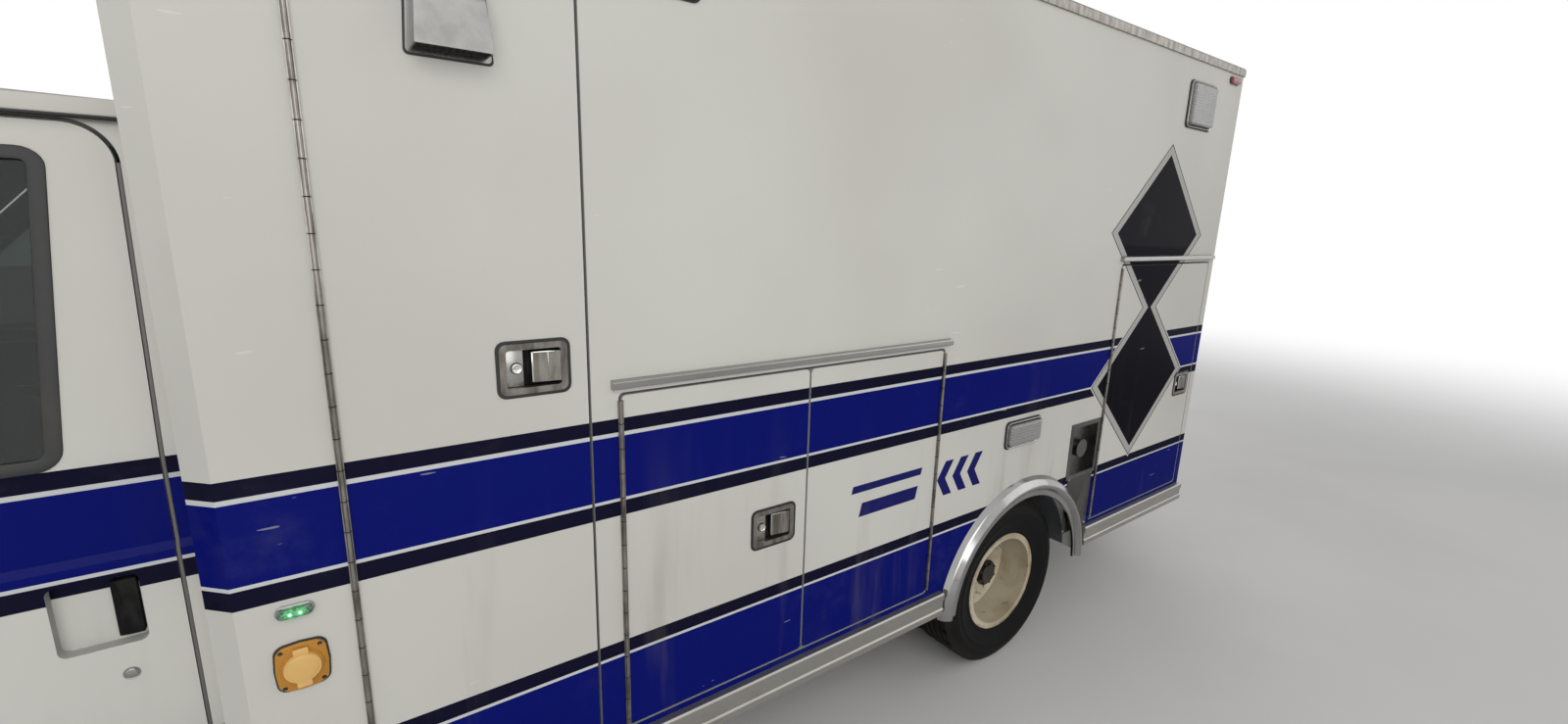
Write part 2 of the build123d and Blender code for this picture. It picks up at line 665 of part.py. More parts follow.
# Cab, cut from one outer form by its side, front and plan outlines
WINDSHIELD = ((800.0, 1428.0, 60.0), (690.0, 2015.0, 70.0))
CAB_WINDOW = (
    (1265.0, 1434.0, 45.0),
    (1225.0, 1985.0, 55.0),
    (1512.0, 1985.0, 55.0),
    (1972.0, 1494.0, 30.0),
    (1972.0, 1434.0, 25.0),
)
CAB_FRONT_ROWS = (
    (972.0, ROCKER_Z, 0.0),
    (CAB_HALF_WIDTH, 640.0, 150.0),
    (CAB_HALF_WIDTH, CREASE_Z - CREASE_DEPTH, 0.0),
    (CAB_HALF_WIDTH - CREASE_DEPTH, CREASE_Z + CREASE_DEPTH, 0.0),
    (CAB_HALF_WIDTH - CREASE_DEPTH - 2, BELT_Z, 200.0),
    (908.0, 2040.0, 70.0),
    (800.0, CAB_ROOF_Z, 60.0),
    (0.0, CAB_ROOF_Z + CAB_ROOF_CROWN, 0.0),
)
PLAN_MARGIN = 4.0
CAB_PLAN_ROWS = (
    (2300.0, CAB_HALF_WIDTH + PLAN_MARGIN, 0.0),
    (3010.0, 962.0, 110.0),
    (NOSE_X + PLAN_MARGIN, 740.0, 240.0),
)


def cab_side(rear_x):
    """Side outline of cab and nose."""
    return outline(
        (rear_x, ROCKER_Z, 0),
        (rear_x, CAB_ROOF_Z - CAB_ROOF_FALL, 30),
        (WINDSHIELD_TOP_X, CAB_ROOF_Z, 110),
        (COWL_X, COWL_Z, 90),
        (HOOD_FRONT_X, HOOD_FRONT_Z, 130),
        (NOSE_X - NOSE_LEAN, NOSE_TOP_Z, 60),
        (NOSE_X, NOSE_BOTTOM_Z, 0),
        (NOSE_X - NOSE_STEP, NOSE_BOTTOM_Z, 0),
        (NOSE_X - NOSE_STEP, ROCKER_Z, 0),
    )


def cab_plan(rear_x):
    """Plan outline of cab and nose."""
    left = [(x, half, radius) for x, half, radius in CAB_PLAN_ROWS]
    right = [(x, -half, radius) for x, half, radius in reversed(CAB_PLAN_ROWS)]
    wide = CAB_HALF_WIDTH + PLAN_MARGIN
    return outline((rear_x, -wide, 0), (rear_x, wide, 0), *left, *right)


def cab_form(inset, rear_x):
    """Cab form pulled in by a distance on every side."""
    outlines = [cab_side(rear_x), both_halves(*CAB_FRONT_ROWS), cab_plan(rear_x)]
    if inset:
        outlines = [offset(shape, -inset) for shape in outlines]
    side, front, plan = outlines
    return along_y(side, -OUT, OUT) & along_x(front, 0, OUT) & along_z(plan, 0, OUT)


def cab_door_outline(grow):
    """Left door outline grown outwards or, when negative, pulled in."""
    slope = (COWL_X - WINDSHIELD_TOP_X) / (CAB_ROOF_Z - COWL_Z)
    top_front = CAB_DOOR_FRONT_X - (CAB_DOOR_TOP_Z - BELT_Z - CAB_WALL) * slope
    shape = outline(
        (CAB_DOOR_REAR_X, CAB_DOOR_BOTTOM_Z, 40),
        (CAB_DOOR_REAR_X, CAB_DOOR_TOP_Z, 70),
        (top_front, CAB_DOOR_TOP_Z, 90),
        (CAB_DOOR_FRONT_X, BELT_Z + CAB_WALL, 60),
        (CAB_DOOR_FRONT_X, CAB_DOOR_BOTTOM_Z, 40),
    )
    return offset(shape, grow) if grow else shape


CAB_SPLIT_X = CAB_DOOR_FRONT_X + CAB_DOOR_GAP
CAB_INNER_REAR_X = CAB_REAR_X + CAB_BACK_WALL - CAB_WALL
CAB_SIDE_REACH = 77.0
CAB_TOP_REACH = 167.0
CAB_HINGE_RISE = 2.5
CAB_HINGE_PIN = 7.0
CAB_HINGE_LENGTH = 90.0
CAB_HINGE_Z = (700.0, 1100.0)
NOSE_OPENING_DROP = 150.0
NOSE_OPENING_HALF_WIDTH = 880.0


def cab_door_zone(shape):
    """Outline carried through the side wall, deeper above the belt line."""
    low = along_y(shape, CAB_HALF_WIDTH - CAB_SIDE_REACH, OUT)
    high = along_y(shape, CAB_HALF_WIDTH - CAB_TOP_REACH, OUT)
    return low + (high & block((0, OUT), (0, OUT), (BELT_Z, OUT)))


def hinge(x, face, low, high, door_side, pitch, rise, pin):
    """The door's leaf and the wall's along Z on a wall facing +Y, with their knuckles in turn."""
    count = max(1, round((high - low) / pitch / 2)) * 2 + 1
    step = (high - low) / count
    leaves = []
    for first, side in ((1, door_side), (0, -door_side)):
        near = x + side * (pin / 2 + PIECE_GAP)
        edge = x + side * HINGE_LEAF_WIDTH
        leaf = block((min(near, edge), max(near, edge)), (face, face + rise), (low, high))
        for number in range(first, count, 2):
            bottom = low + number * step
            top = bottom + step - PIECE_GAP
            leaf += block((min(x, edge), max(x, edge)), (face, face + rise), (bottom, top))
            leaf += cylinder_z(x, face + rise, bottom, top, pin)
        leaves.append([leaf])
    return leaves


def joined(first, *others):
    """Fuses pieces into one."""
    for other in others:
        first += other
    return first


def cab_door_hinges():
    """Two butt hinges at the front edge of the left cab door."""
    x = CAB_DOOR_FRONT_X + CAB_DOOR_GAP / 2
    moving, fixed = [], []
    for z in CAB_HINGE_Z:
        high = z + CAB_HINGE_LENGTH
        door_leaf, wall_side = hinge(
            x, CAB_HALF_WIDTH, z, high, -1, CAB_HINGE_LENGTH / 3, CAB_HINGE_RISE, CAB_HINGE_PIN
        )
        moving += door_leaf
        fixed += wall_side
    return moving, fixed


# Mirror on each cab door
MIRROR_X = (1900.0, 1960.0)
MIRROR_Y = (1090.0, 1300.0)
MIRROR_Z = (1460.0, 1810.0)
MIRROR_ARM_Z = (1380.0, 1890.0)
MIRROR_ARM_DIAMETER = 26.0


def mirror_head():
    """Tall mirror housing on a looped arm from the left door."""
    centre_x = sum(MIRROR_X) / 2
    head = along_x(window_outline(*MIRROR_Y, *MIRROR_Z, MIRROR_ARM_DIAMETER), *MIRROR_X)
    reach = sum(MIRROR_Y) / 2
    low, high = MIRROR_ARM_Z
    bar = MIRROR_ARM_DIAMETER
    post = cylinder_z(centre_x, reach, low, MIRROR_Z[0] + bar, bar)
    lower = cylinder_y(centre_x, low + bar / 2, CAB_HALF_WIDTH - bar, reach, bar)
    foot = cylinder_y(centre_x, low + bar / 2, CAB_HALF_WIDTH - bar, CAB_HALF_WIDTH + bar / 4, 3 * bar)
    return head + post + lower + foot


# Handle of the cab door, a grip at the rear of a pocket
HANDLE_X = (1194.0, 1320.0)
HANDLE_Z = (1055.0, 1200.0)
HANDLE_DEPTH = 28.0
HANDLE_RADIUS = 14.0
GRIP_WIDTH = 40.0
GRIP_SLOPE = 12.0
GRIP_DROP = 8.0
GRIP_INSET = 6.0


def cab_door_handle():
    """Pocket to cut and grip to add on the left cab door."""
    face = CAB_HALF_WIDTH
    base = face - HANDLE_DEPTH
    pocket = along_y(window_outline(*HANDLE_X, *HANDLE_Z, HANDLE_RADIUS), base, OUT)
    rear = HANDLE_X[0] + GRIP_INSET
    top = face - GRIP_DROP
    section = outline(
        (rear, base, 0),
        (rear, top, 0),
        (rear + GRIP_WIDTH / 2, top, 4),
        (rear + GRIP_WIDTH, face - GRIP_SLOPE, 4),
        (rear + GRIP_WIDTH * 3 / 4, base, 0),
    )
    low, high = HANDLE_Z
    return pocket, along_z(section, low + HANDLE_RADIUS, high - HANDLE_RADIUS)


def cab_pieces():
    """Cab shell, doors, glass, hood, fenders, grille panel and headlamps."""
    outer = cab_form(0, CAB_REAR_X)
    inner = cab_form(CAB_WALL, CAB_INNER_REAR_X)
    hollow = outer - inner
    nose = block((CAB_SPLIT_X, OUT), (-OUT, OUT), (0, HOOD_SPLIT_Z))
    nose += block((COWL_X + HOOD_GAP, OUT), (-OUT, OUT), (0, OUT))
    below = Pos(0, 0, -NOSE_OPENING_DROP) * inner
    front = (hollow & nose) - (below & block((CAB_SPLIT_X, OUT), (-OUT, OUT), (0, NOSE_TOP_Z)))
    front -= block(
        (CAB_SPLIT_X, NOSE_X - CAB_WALL),
        (-NOSE_OPENING_HALF_WIDTH, NOSE_OPENING_HALF_WIDTH),
        (0, NOSE_BOTTOM_Z + CAB_WALL),
    )
    shell = hollow - nose
    pieces = {}

    under = CAB_FLOOR_Z - CAB_FLOOR_THICKNESS
    half = CAB_FLOOR_HALF_WIDTH
    floor_x = (CAB_REAR_X + CAB_BACK_WALL, CAB_SPLIT_X)
    shell += block(floor_x, (-half, half), (ROCKER_Z + CAB_WALL, CAB_FLOOR_Z))
    shell -= block((0, OUT), (FLOOR_RISER - half, half - FLOOR_RISER), (0, under))
    wall_zone = block((CAB_SPLIT_X - FIREWALL, CAB_SPLIT_X), (-OUT, OUT), (ROCKER_Z, OUT))
    shell += (wall_zone & inner) - block((0, OUT), (-half, half), (0, under))
    for side in (1, -1):
        zone = cab_door_zone(cab_door_outline(CAB_DOOR_GAP))
        shell -= zone if side > 0 else right_of(zone)
    passage = window_outline(
        -PASSAGE_HALF_WIDTH, PASSAGE_HALF_WIDTH, PASSAGE_BOTTOM_Z, PASSAGE_TOP_Z, WINDOW_CORNER_RADIUS
    )
    shell -= along_x(passage, CAB_REAR_X - MERGE, CAB_REAR_X + CAB_BACK_WALL + MERGE)
    screen = along_x(both_halves(*WINDSHIELD), WINDSHIELD_TOP_X - CAB_WALL, COWL_X + CAB_WALL)
    shell -= screen
    setback = cab_form(GLASS_SETBACK, CAB_INNER_REAR_X)
    pane = setback - cab_form(GLASS_SETBACK + GLASS_THICKNESS, CAB_INNER_REAR_X)
    pieces["windshield"] = pane & screen
    pieces["cab_shell"] = shell

    skin_depth = cab_form(CAB_DOOR_SKIN, CAB_INNER_REAR_X)
    skin = (outer - skin_depth) & cab_door_zone(cab_door_outline(0))
    core = (skin_depth - inner) & cab_door_zone(cab_door_outline(-CAB_DOOR_RABBET))
    window = along_y(outline(*CAB_WINDOW), CAB_HALF_WIDTH - CAB_TOP_REACH, OUT)
    moving, fixed = cab_door_hinges()
    pocket, grip = cab_door_handle()
    door = joined((skin + core) - window - pocket, grip, mirror_head(), *moving)
    glass = pane & window
    pieces["cab_door_left"] = door
    pieces["cab_door_glass_left"] = glass
    pieces["cab_door_right"] = right_of(door)
    pieces["cab_door_glass_right"] = right_of(glass)

    hood_zone = along_z(
        window_outline(
            COWL_X + 2 * HOOD_GAP,
            HOOD_FRONT_X - HOOD_GAP,
            -HOOD_HALF_WIDTH,
            HOOD_HALF_WIDTH,
            2 * HOOD_GAP,
        ),
        HOOD_FRONT_Z - 2 * CAB_WALL,
        OUT,
    )
    hood_gap = along_z(
        window_outline(
            COWL_X,
            HOOD_FRONT_X,
            -HOOD_HALF_WIDTH - HOOD_GAP,
            HOOD_HALF_WIDTH + HOOD_GAP,
            HOOD_GAP / 4,
        ),
        HOOD_FRONT_Z - 2 * CAB_WALL,
        OUT,
    )
    hood_leaf, cowl_leaf = hood_hinges()
    swing = hood_front_radius() - HOOD_SWING_CLEARANCE
    swing = cylinder_y(HOOD_HINGE_X, HOOD_HINGE_Z, -OUT, OUT, 2 * swing)
    pieces["hood"] = joined(hollow & nose & hood_zone & swing, *hood_leaf)
    pieces["cab_shell"] = joined(shell, *cowl_leaf, *seat_bases())
    front -= hood_gap
    panel_zone = block(
        (HOOD_FRONT_X - HOOD_GAP, OUT), (-HOOD_HALF_WIDTH, HOOD_HALF_WIDTH), (0, OUT)
    )
    panel = front & panel_zone
    fenders = front - panel_zone
    fenders -= cylinder_y(FRONT_AXLE_X, AXLE_Z, -OUT, OUT, 2 * FRONT_ARCH_RADIUS)
    lamp_zone = headlamp_zone()
    lamps = (cab_form(GLASS_SETBACK, CAB_INNER_REAR_X) - cab_form(CAB_WALL / 2, CAB_INNER_REAR_X))
    lamps = [lamps & lamp_zone & panel_zone, lamps & right_of(lamp_zone) & panel_zone]
    panel -= lamp_zone + right_of(lamp_zone)
    pieces["grille_panel"] = grille(panel)
    pieces["headlamps"] = lamps
    left = fenders & block((0, OUT), (0, OUT), (0, OUT))
    right = fenders & block((0, OUT), (-OUT, 0), (0, OUT))
    left = joined(left, *fixed)
    right = joined(right, *[right_of(leaf) for leaf in fixed])
    pieces["front_fenders"] = [left, right]
    return pieces


# Grille opening with slats, a headlamp each side of it
GRILLE_HALF_WIDTH = 500.0
GRILLE_BOTTOM_Z = 800.0
GRILLE_TOP_Z = 1070.0
GRILLE_SLATS = 5
GRILLE_SLAT_HEIGHT = 20.0
GRILLE_SLAT_DEPTH = 34.0
GRILLE_POSTS = 4
GRILLE_POST_WIDTH = 14.0
HEADLAMP_Y = (540.0, 780.0)
HEADLAMP_Z = (830.0, 1050.0)
HEADLAMP_RADIUS = 24.0


def headlamp_zone():
    """Left headlamp's outline carried back along X."""
    shape = window_outline(*HEADLAMP_Y, *HEADLAMP_Z, HEADLAMP_RADIUS)
    return along_x(shape, HOOD_FRONT_X - 2 * CAB_WALL, OUT)


def grille(panel):
    """Front panel with its opening, slats and posts."""
    shape = window_outline(
        -GRILLE_HALF_WIDTH, GRILLE_HALF_WIDTH, GRILLE_BOTTOM_Z, GRILLE_TOP_Z, HEADLAMP_RADIUS
    )
    panel -= along_x(shape, HOOD_FRONT_X - 2 * CAB_WALL, OUT)
    back = NOSE_X - CAB_WALL
    across = (-GRILLE_HALF_WIDTH - MERGE, GRILLE_HALF_WIDTH + MERGE)
    pitch = (GRILLE_TOP_Z - GRILLE_BOTTOM_Z) / (GRILLE_SLATS + 1)
    for number in range(GRILLE_SLATS):
        middle = GRILLE_BOTTOM_Z + pitch * (number + 1)
        low = middle - GRILLE_SLAT_HEIGHT / 2
        panel += block((back, back + GRILLE_SLAT_DEPTH), across, (low, low + GRILLE_SLAT_HEIGHT))
    spacing = 2 * GRILLE_HALF_WIDTH / (GRILLE_POSTS + 1)
    for number in range(GRILLE_POSTS):
        middle = spacing * (number + 1) - GRILLE_HALF_WIDTH
        low = middle - GRILLE_POST_WIDTH / 2
        panel += block(
            (back, back + GRILLE_SLAT_DEPTH / 2),
            (low, low + GRILLE_POST_WIDTH),
            (GRILLE_BOTTOM_Z - MERGE, GRILLE_TOP_Z + MERGE),
        )
    return panel


HOOD_HINGE_Y = 560.0
HOOD_HINGE_LENGTH = 120.0
HOOD_HINGE_X = COWL_X + 1.5 * HOOD_GAP


def hood_top_z(x):
    """Height of the hood's surface at an X."""
    share = (x - COWL_X) / (HOOD_FRONT_X - COWL_X)
    return COWL_Z + share * (HOOD_FRONT_Z - COWL_Z)


HOOD_HINGE_Z = hood_top_z(HOOD_HINGE_X) + CAB_HINGE_RISE


def hood_front_radius():
    """Distance from the hinge pin to the top edge of the panel ahead of the hood."""
    return hypot(HOOD_FRONT_X - HOOD_HINGE_X, HOOD_HINGE_Z - HOOD_FRONT_Z + NOSE_LEAN)


def hood_hinges():
    """Two butt hinges at the rear edge of the hood."""
    face = hood_top_z(HOOD_HINGE_X)
    turn = Pos(HOOD_HINGE_X, 0, face) * Rot(90, 0, 0)
    moving, fixed = [], []
    for place in (-HOOD_HINGE_Y, HOOD_HINGE_Y):
        low = place - HOOD_HINGE_LENGTH / 2
        high = place + HOOD_HINGE_LENGTH / 2
        door_leaf, wall_side = hinge(
            0, 0, low, high, 1, HOOD_HINGE_LENGTH / 3, CAB_HINGE_RISE, CAB_HINGE_PIN
        )
        moving += [turn * leaf for leaf in door_leaf]
        fixed += [turn * leaf for leaf in wall_side]
    return moving, fixed


def front_bumper():
    """Wrap-round bumper on brackets from the rails."""
    rows = (
        (BUMPER_REAR_X, BUMPER_HALF_WIDTH, 0.0),
        (BUMPER_CORNER_X, BUMPER_HALF_WIDTH, 70.0),
        (BUMPER_FRONT_X, BUMPER_FACE_HALF_WIDTH, 90.0),
    )
    mirrored = [(x, -half, radius) for x, half, radius in reversed(rows)]
    shape = outline(*rows, *mirrored)
    bar = along_z(shape, BUMPER_BOTTOM_Z, BUMPER_TOP_Z)
    inside = along_z(offset(shape, -BUMPER_SHEET), 0, OUT)
    bar -= inside + Pos(-CAB_WALL, 0, 0) * inside
    face = BUMPER_FRONT_X - BUMPER_SHEET
    web = (RAIL_OUTER_Y - RAIL_FLANGE, RAIL_OUTER_Y)
    low = FRONT_RAIL_BOTTOM_Z + FRONT_RAIL_HEIGHT / 4
    bracket = block((RAIL_FRONT_X, face), web, (low, low + FRONT_RAIL_HEIGHT / 2))
    return bar + bracket + right_of(bracket)


# Cab interior
DASH_ROWS = (
    (2028.0, 985.0, 0.0),
    (1810.0, 985.0, 30.0),
    (1735.0, 1160.0, 60.0),
    (1800.0, 1285.0, 60.0),
    (2028.0, 1290.0, 0.0),
)
DASH_DOOR_CLEARANCE = 132.0
DASH_HALF_WIDTH = CAB_HALF_WIDTH - DASH_DOOR_CLEARANCE
ENGINE_COVER_REAR_X = 1560.0
ENGINE_COVER_HALF_WIDTH = 250.0
ENGINE_COVER_TOP_Z = 1060.0
ENGINE_COVER_RADIUS = 60.0
SEAT_Y = 500.0
SEAT_HALF_WIDTH = 245.0
SEAT_BASE_X = (1290.0, 1690.0)
SEAT_BASE_TOP_Z = 945.0
SEAT_CUSHION_X = (1240.0, 1725.0)
SEAT_CUSHION_TOP_Z = 1065.0
SEAT_RADIUS = 40.0
SEAT_BACK_ROWS = (
    (1245.0, SEAT_CUSHION_TOP_Z + PIECE_GAP, 20.0),
    (1375.0, SEAT_CUSHION_TOP_Z + PIECE_GAP, 30.0),
    (1290.0, 1500.0, 0.0),
    (1245.0, 1790.0, 40.0),
    (1150.0, 1790.0, 40.0),
    (1160.0, 1440.0, 0.0),
)
STEERING_WHEEL_CENTRE = (1650.0, 500.0, 1345.0)
STEERING_WHEEL_DIAMETER = 390.0
STEERING_WHEEL_RIM = 30.0
STEERING_COLUMN_TILT = 30.0
STEERING_COLUMN_DIAMETER = 60.0
STEERING_COLUMN_LENGTH = 265.0


def dashboard():
    """Dashboard across the cab with the engine cover below it."""
    dash = along_y(outline(*DASH_ROWS), -DASH_HALF_WIDTH, DASH_HALF_WIDTH)
    half = ENGINE_COVER_HALF_WIDTH
    cover = window_outline(
        -half, half, CAB_FLOOR_Z - 2 * ENGINE_COVER_RADIUS, ENGINE_COVER_TOP_Z, ENGINE_COVER_RADIUS
    )
    cover = along_x(cover, ENGINE_COVER_REAR_X, CAB_SPLIT_X - FIREWALL)
    dash += cover & block((0, OUT), (-OUT, OUT), (CAB_FLOOR_Z, OUT))
    return dash + steering_wheel()


def steering_wheel():
    """Steering wheel with its spokes on the column."""
    ring_radius = (STEERING_WHEEL_DIAMETER - STEERING_WHEEL_RIM) / 2
    section = Plane.XZ * Pos(ring_radius, 0) * RegularPolygon(STEERING_WHEEL_RIM / 2, 8)
    wheel = revolve(section, axis=Axis.Z)
    wheel += Cylinder(STEERING_COLUMN_DIAMETER, STEERING_WHEEL_RIM)
    for angle in (0, 180, 270):
        spoke = Pos(ring_radius / 2, 0, 0) * Box(ring_radius, STEERING_WHEEL_RIM, STEERING_WHEEL_RIM / 2)
        wheel += Rot(0, 0, angle) * spoke
    column = Pos(0, 0, -STEERING_COLUMN_LENGTH / 2) * Cylinder(
        STEERING_COLUMN_DIAMETER / 2, STEERING_COLUMN_LENGTH
    )
    return Pos(*STEERING_WHEEL_CENTRE) * Rot(0, STEERING_COLUMN_TILT - 90, 0) * (wheel + column)


def cab_seats():
    """Cushion and back of both seats."""
    solids = []
    for side in (SEAT_Y, -SEAT_Y):
        edges = (side - SEAT_HALF_WIDTH, side + SEAT_HALF_WIDTH)
        heights = (SEAT_BASE_TOP_Z + PIECE_GAP, SEAT_CUSHION_TOP_Z)
        cushion = window_outline(*SEAT_CUSHION_X, *heights, SEAT_RADIUS)
        solids.append(along_y(cushion, *edges))
        solids.append(along_y(outline(*SEAT_BACK_ROWS), *edges))
    return solids


def seat_bases():
    """Pedestal of both seats."""
    solids = []
    for side in (SEAT_Y, -SEAT_Y):
        half = SEAT_HALF_WIDTH - SEAT_RADIUS / 2
        solids.append(
            block(SEAT_BASE_X, (side - half, side + half), (CAB_FLOOR_Z, SEAT_BASE_TOP_Z))
        )
    return solids


# Module walls, each made on a wall that faces +Y and then turned to its place
WALL_INNER_Y = MODULE_HALF_WIDTH - WALL
REAR_FACE = -MODULE_REAR_X
FRONT_FACE = MODULE_FRONT_X


def to_rear(solid):
    """Turns a piece made on a wall facing +Y to the rear wall."""
    return Rot(0, 0, 90) * solid


def to_front(solid):
    """Turns a piece made on a wall facing +Y to the front wall."""
    return Rot(0, 0, -90) * solid


def latch(x, z, face, paddle_side):
    """Pocket to cut, and the bezel, paddle and lock barrel to add."""
    half_w = LATCH_WIDTH / 2
    half_h = LATCH_HEIGHT / 2
    rim = LATCH_BEZEL
    frame = window_outline(x - half_w, x + half_w, z - half_h, z + half_h, rim)
    hole = window_outline(x - half_w + rim, x + half_w - rim, z - half_h + rim, z + half_h - rim, rim / 2)
    pocket = along_y(hole, face - LATCH_POCKET_DEPTH, face + LATCH_POCKET_DEPTH)
    bezel = along_y(frame, face - LATCH_PROUD, face + LATCH_PROUD) - pocket
    edge = x + paddle_side * (half_w - rim)
    tip = edge - paddle_side * LATCH_PADDLE_WIDTH
    base = face - LATCH_POCKET_DEPTH
    wedge = outline(
        (edge, base, 0),
        (edge, face, 0),
        (tip, face - LATCH_PADDLE_DROP, LATCH_PADDLE_DROP / 4),
        (tip, face - 2 * LATCH_PADDLE_DROP, 0),
        (edge - paddle_side * LATCH_PADDLE_WIDTH / 2, base, 0),
    )
    reach = half_h - rim - LATCH_PADDLE_DROP
    paddle = along_z(wedge, z - reach, z + reach)
    barrel_x = x - paddle_side * (half_w - rim - LATCH_LOCK_DIAMETER)
    barrel = cylinder_y(barrel_x, z, base, face - LATCH_PADDLE_DROP, LATCH_LOCK_DIAMETER)
    return pocket, [bezel, paddle, barrel]


def module_door(door, face):
    """Flush door and the wall's knuckles, from a row of DOORS."""
    low, high, bottom, top = door["box"]
    half = DOOR_GAP / 2
    leaf = window_outline(low + half, high - half, bottom + half, top - half, DOOR_CORNER_RADIUS)
    panel = along_y(leaf, face - WALL, face)
    margin = half + DOOR_PAN_MARGIN
    pan = window_outline(
        low + margin, high - margin, bottom + margin, top - margin, DOOR_CORNER_RADIUS
    )
    panel -= along_y(pan, face - WALL - MERGE, face - WALL + DOOR_PAN_DEPTH)
    glass = None
    if door.get("window"):
        shape = window_outline(*door["window"], WINDOW_CORNER_RADIUS)
        panel -= along_y(shape, face - WALL - MERGE, face + MERGE)
        glass = along_y(shape, face - GLASS_SETBACK - GLASS_THICKNESS, face - GLASS_SETBACK)
    if door.get("latch"):
        paddle_side = -1 if door["hinge"] == "high" else 1
        pocket, parts = latch(*door["latch"], face, paddle_side)
        panel = joined(panel - pocket, *parts)
    hinge_x = high if door["hinge"] == "high" else low
    door_side = -1 if door["hinge"] == "high" else 1
    moving, fixed = hinge(
        hinge_x,
        face,
        bottom + DOOR_CORNER_RADIUS,
        top - DOOR_CORNER_RADIUS,
        door_side,
        HINGE_KNUCKLE,
        HINGE_RISE,
        HINGE_PIN_DIAMETER,
    )
    return joined(panel, *moving), glass, fixed


def door_opening(box, face):
    """Opening cut through the wall for a door or a pair of doors."""
    low, high, bottom, top = box
    half = DOOR_GAP / 2
    shape = window_outline(low - half, high + half, bottom - half, top + half, DOOR_CORNER_RADIUS)
    return along_y(shape, face - 2 * WALL, face + WALL)


# Compartment openings as low X, high X, bottom Z and top Z of their gap lines
TALL_BOX = (359.0, 854.0, 547.0, 2500.0)
PAIR_BOX = (-900.0, 285.0, 547.0, 1482.0)
PAIR_SPLIT_X = -306.0
REAR_BOX = (-2930.0, -2045.0, 544.0, 1753.0)
ENTRY_BOX = (120.0, 910.0, 470.0, 2420.0)
BACK_BOX = (-REAR_DOOR_HALF_WIDTH, REAR_DOOR_HALF_WIDTH, REAR_DOOR_BOTTOM_Z, REAR_DOOR_TOP_Z)
LATCH_Z = 1012.0
TALL_LATCH = (481.0, 1570.0)
PAIR_LATCH = (-184.0, LATCH_Z)
REAR_LATCH = (-2820.0, 1120.0)
ENTRY_LATCH = (214.0, 1180.0)
BACK_LATCH = (90.0, 1240.0)

# Doors by node name: wall, gap-line box, hinge edge and latch centre
DOORS = {
    "left_front_door": {"wall": "left", "box": TALL_BOX, "hinge": "high", "latch": TALL_LATCH},
    "left_mid_door_front": {
        "wall": "left",
        "box": (PAIR_SPLIT_X, *PAIR_BOX[1:]),
        "hinge": "high",
        "latch": PAIR_LATCH,
    },
    "left_mid_door_rear": {
        "wall": "left",
        "box": (PAIR_BOX[0], PAIR_SPLIT_X, *PAIR_BOX[2:]),
        "hinge": "low",
    },
    "left_rear_door": {"wall": "left", "box": REAR_BOX, "hinge": "high", "latch": REAR_LATCH},
    "right_entry_door": {
        "wall": "right",
        "box": ENTRY_BOX,
        "hinge": "high",
        "latch": ENTRY_LATCH,
        "window": ENTRY_WINDOW,
    },
    "right_rear_door": {"wall": "right", "box": REAR_BOX, "hinge": "high", "latch": REAR_LATCH},
    "rear_door_left": {
        "wall": "rear",
        "box": (0.0, REAR_DOOR_HALF_WIDTH, REAR_DOOR_BOTTOM_Z, REAR_DOOR_TOP_Z),
        "hinge": "high",
        "latch": BACK_LATCH,
        "window": REAR_WINDOW,
    },
    "rear_door_right": {
        "wall": "rear",
        "box": (-REAR_DOOR_HALF_WIDTH, 0.0, REAR_DOOR_BOTTOM_Z, REAR_DOOR_TOP_Z),
        "hinge": "low",
        "window": (-REAR_WINDOW[1], -REAR_WINDOW[0], *REAR_WINDOW[2:]),
    },
}
PLACES = {"left": lambda solid: solid, "right": right_of, "rear": to_rear, "front": to_front}
FACES = {
    "left": MODULE_HALF_WIDTH,
    "right": MODULE_HALF_WIDTH,
    "rear": REAR_FACE,
    "front": FRONT_FACE,
}


def module_doors():
    """All doors of the module, their glass and the knuckles left on each wall."""
    doors = {}
    knuckles = {"left": [], "right": [], "rear": []}
    for name, door in DOORS.items():
        wall = door["wall"]
        place = PLACES[wall]
        panel, glass, fixed = module_door(door, FACES[wall])
        doors[name] = place(panel)
        if glass:
            doors[name.replace("door", "glass")] = place(glass)
        knuckles[wall] += [place(piece) for piece in fixed]
    return doors, knuckles


# Fuel filler pocket and shore power inlet, both on the left wall
FUEL_BOX = (-2018.0, -1812.0, 812.0, 1040.0)
FUEL_BEZEL = 16.0
FUEL_DEPTH = 38.0
FUEL_SHEET = 3.0
FUEL_CAP_DIAMETER = 84.0
FUEL_PROUD = 4.0
INLET_CENTRE = (953.0, 1024.0)
INLET_WIDTH = 86.0
INLET_HEIGHT = 100.0
INLET_PLATE = 9.0
INLET_LID_DIAMETER = 64.0
INLET_LID_HEIGHT = 20.0


def module_plan():
    """Plan outline of the module with its cut corners."""
    half = MODULE_HALF_WIDTH
    cut = CORNER_CHAMFER
    return outline(
        (MODULE_REAR_X + cut, -half, 0),
        (MODULE_FRONT_X - cut, -half, 0),
        (MODULE_FRONT_X, cut - half, 0),
        (MODULE_FRONT_X, half - cut, 0),
        (MODULE_FRONT_X - cut, half, 0),
        (MODULE_REAR_X + cut, half, 0),
        (MODULE_REAR_X, half - cut, 0),
        (MODULE_REAR_X, cut - half, 0),
    )


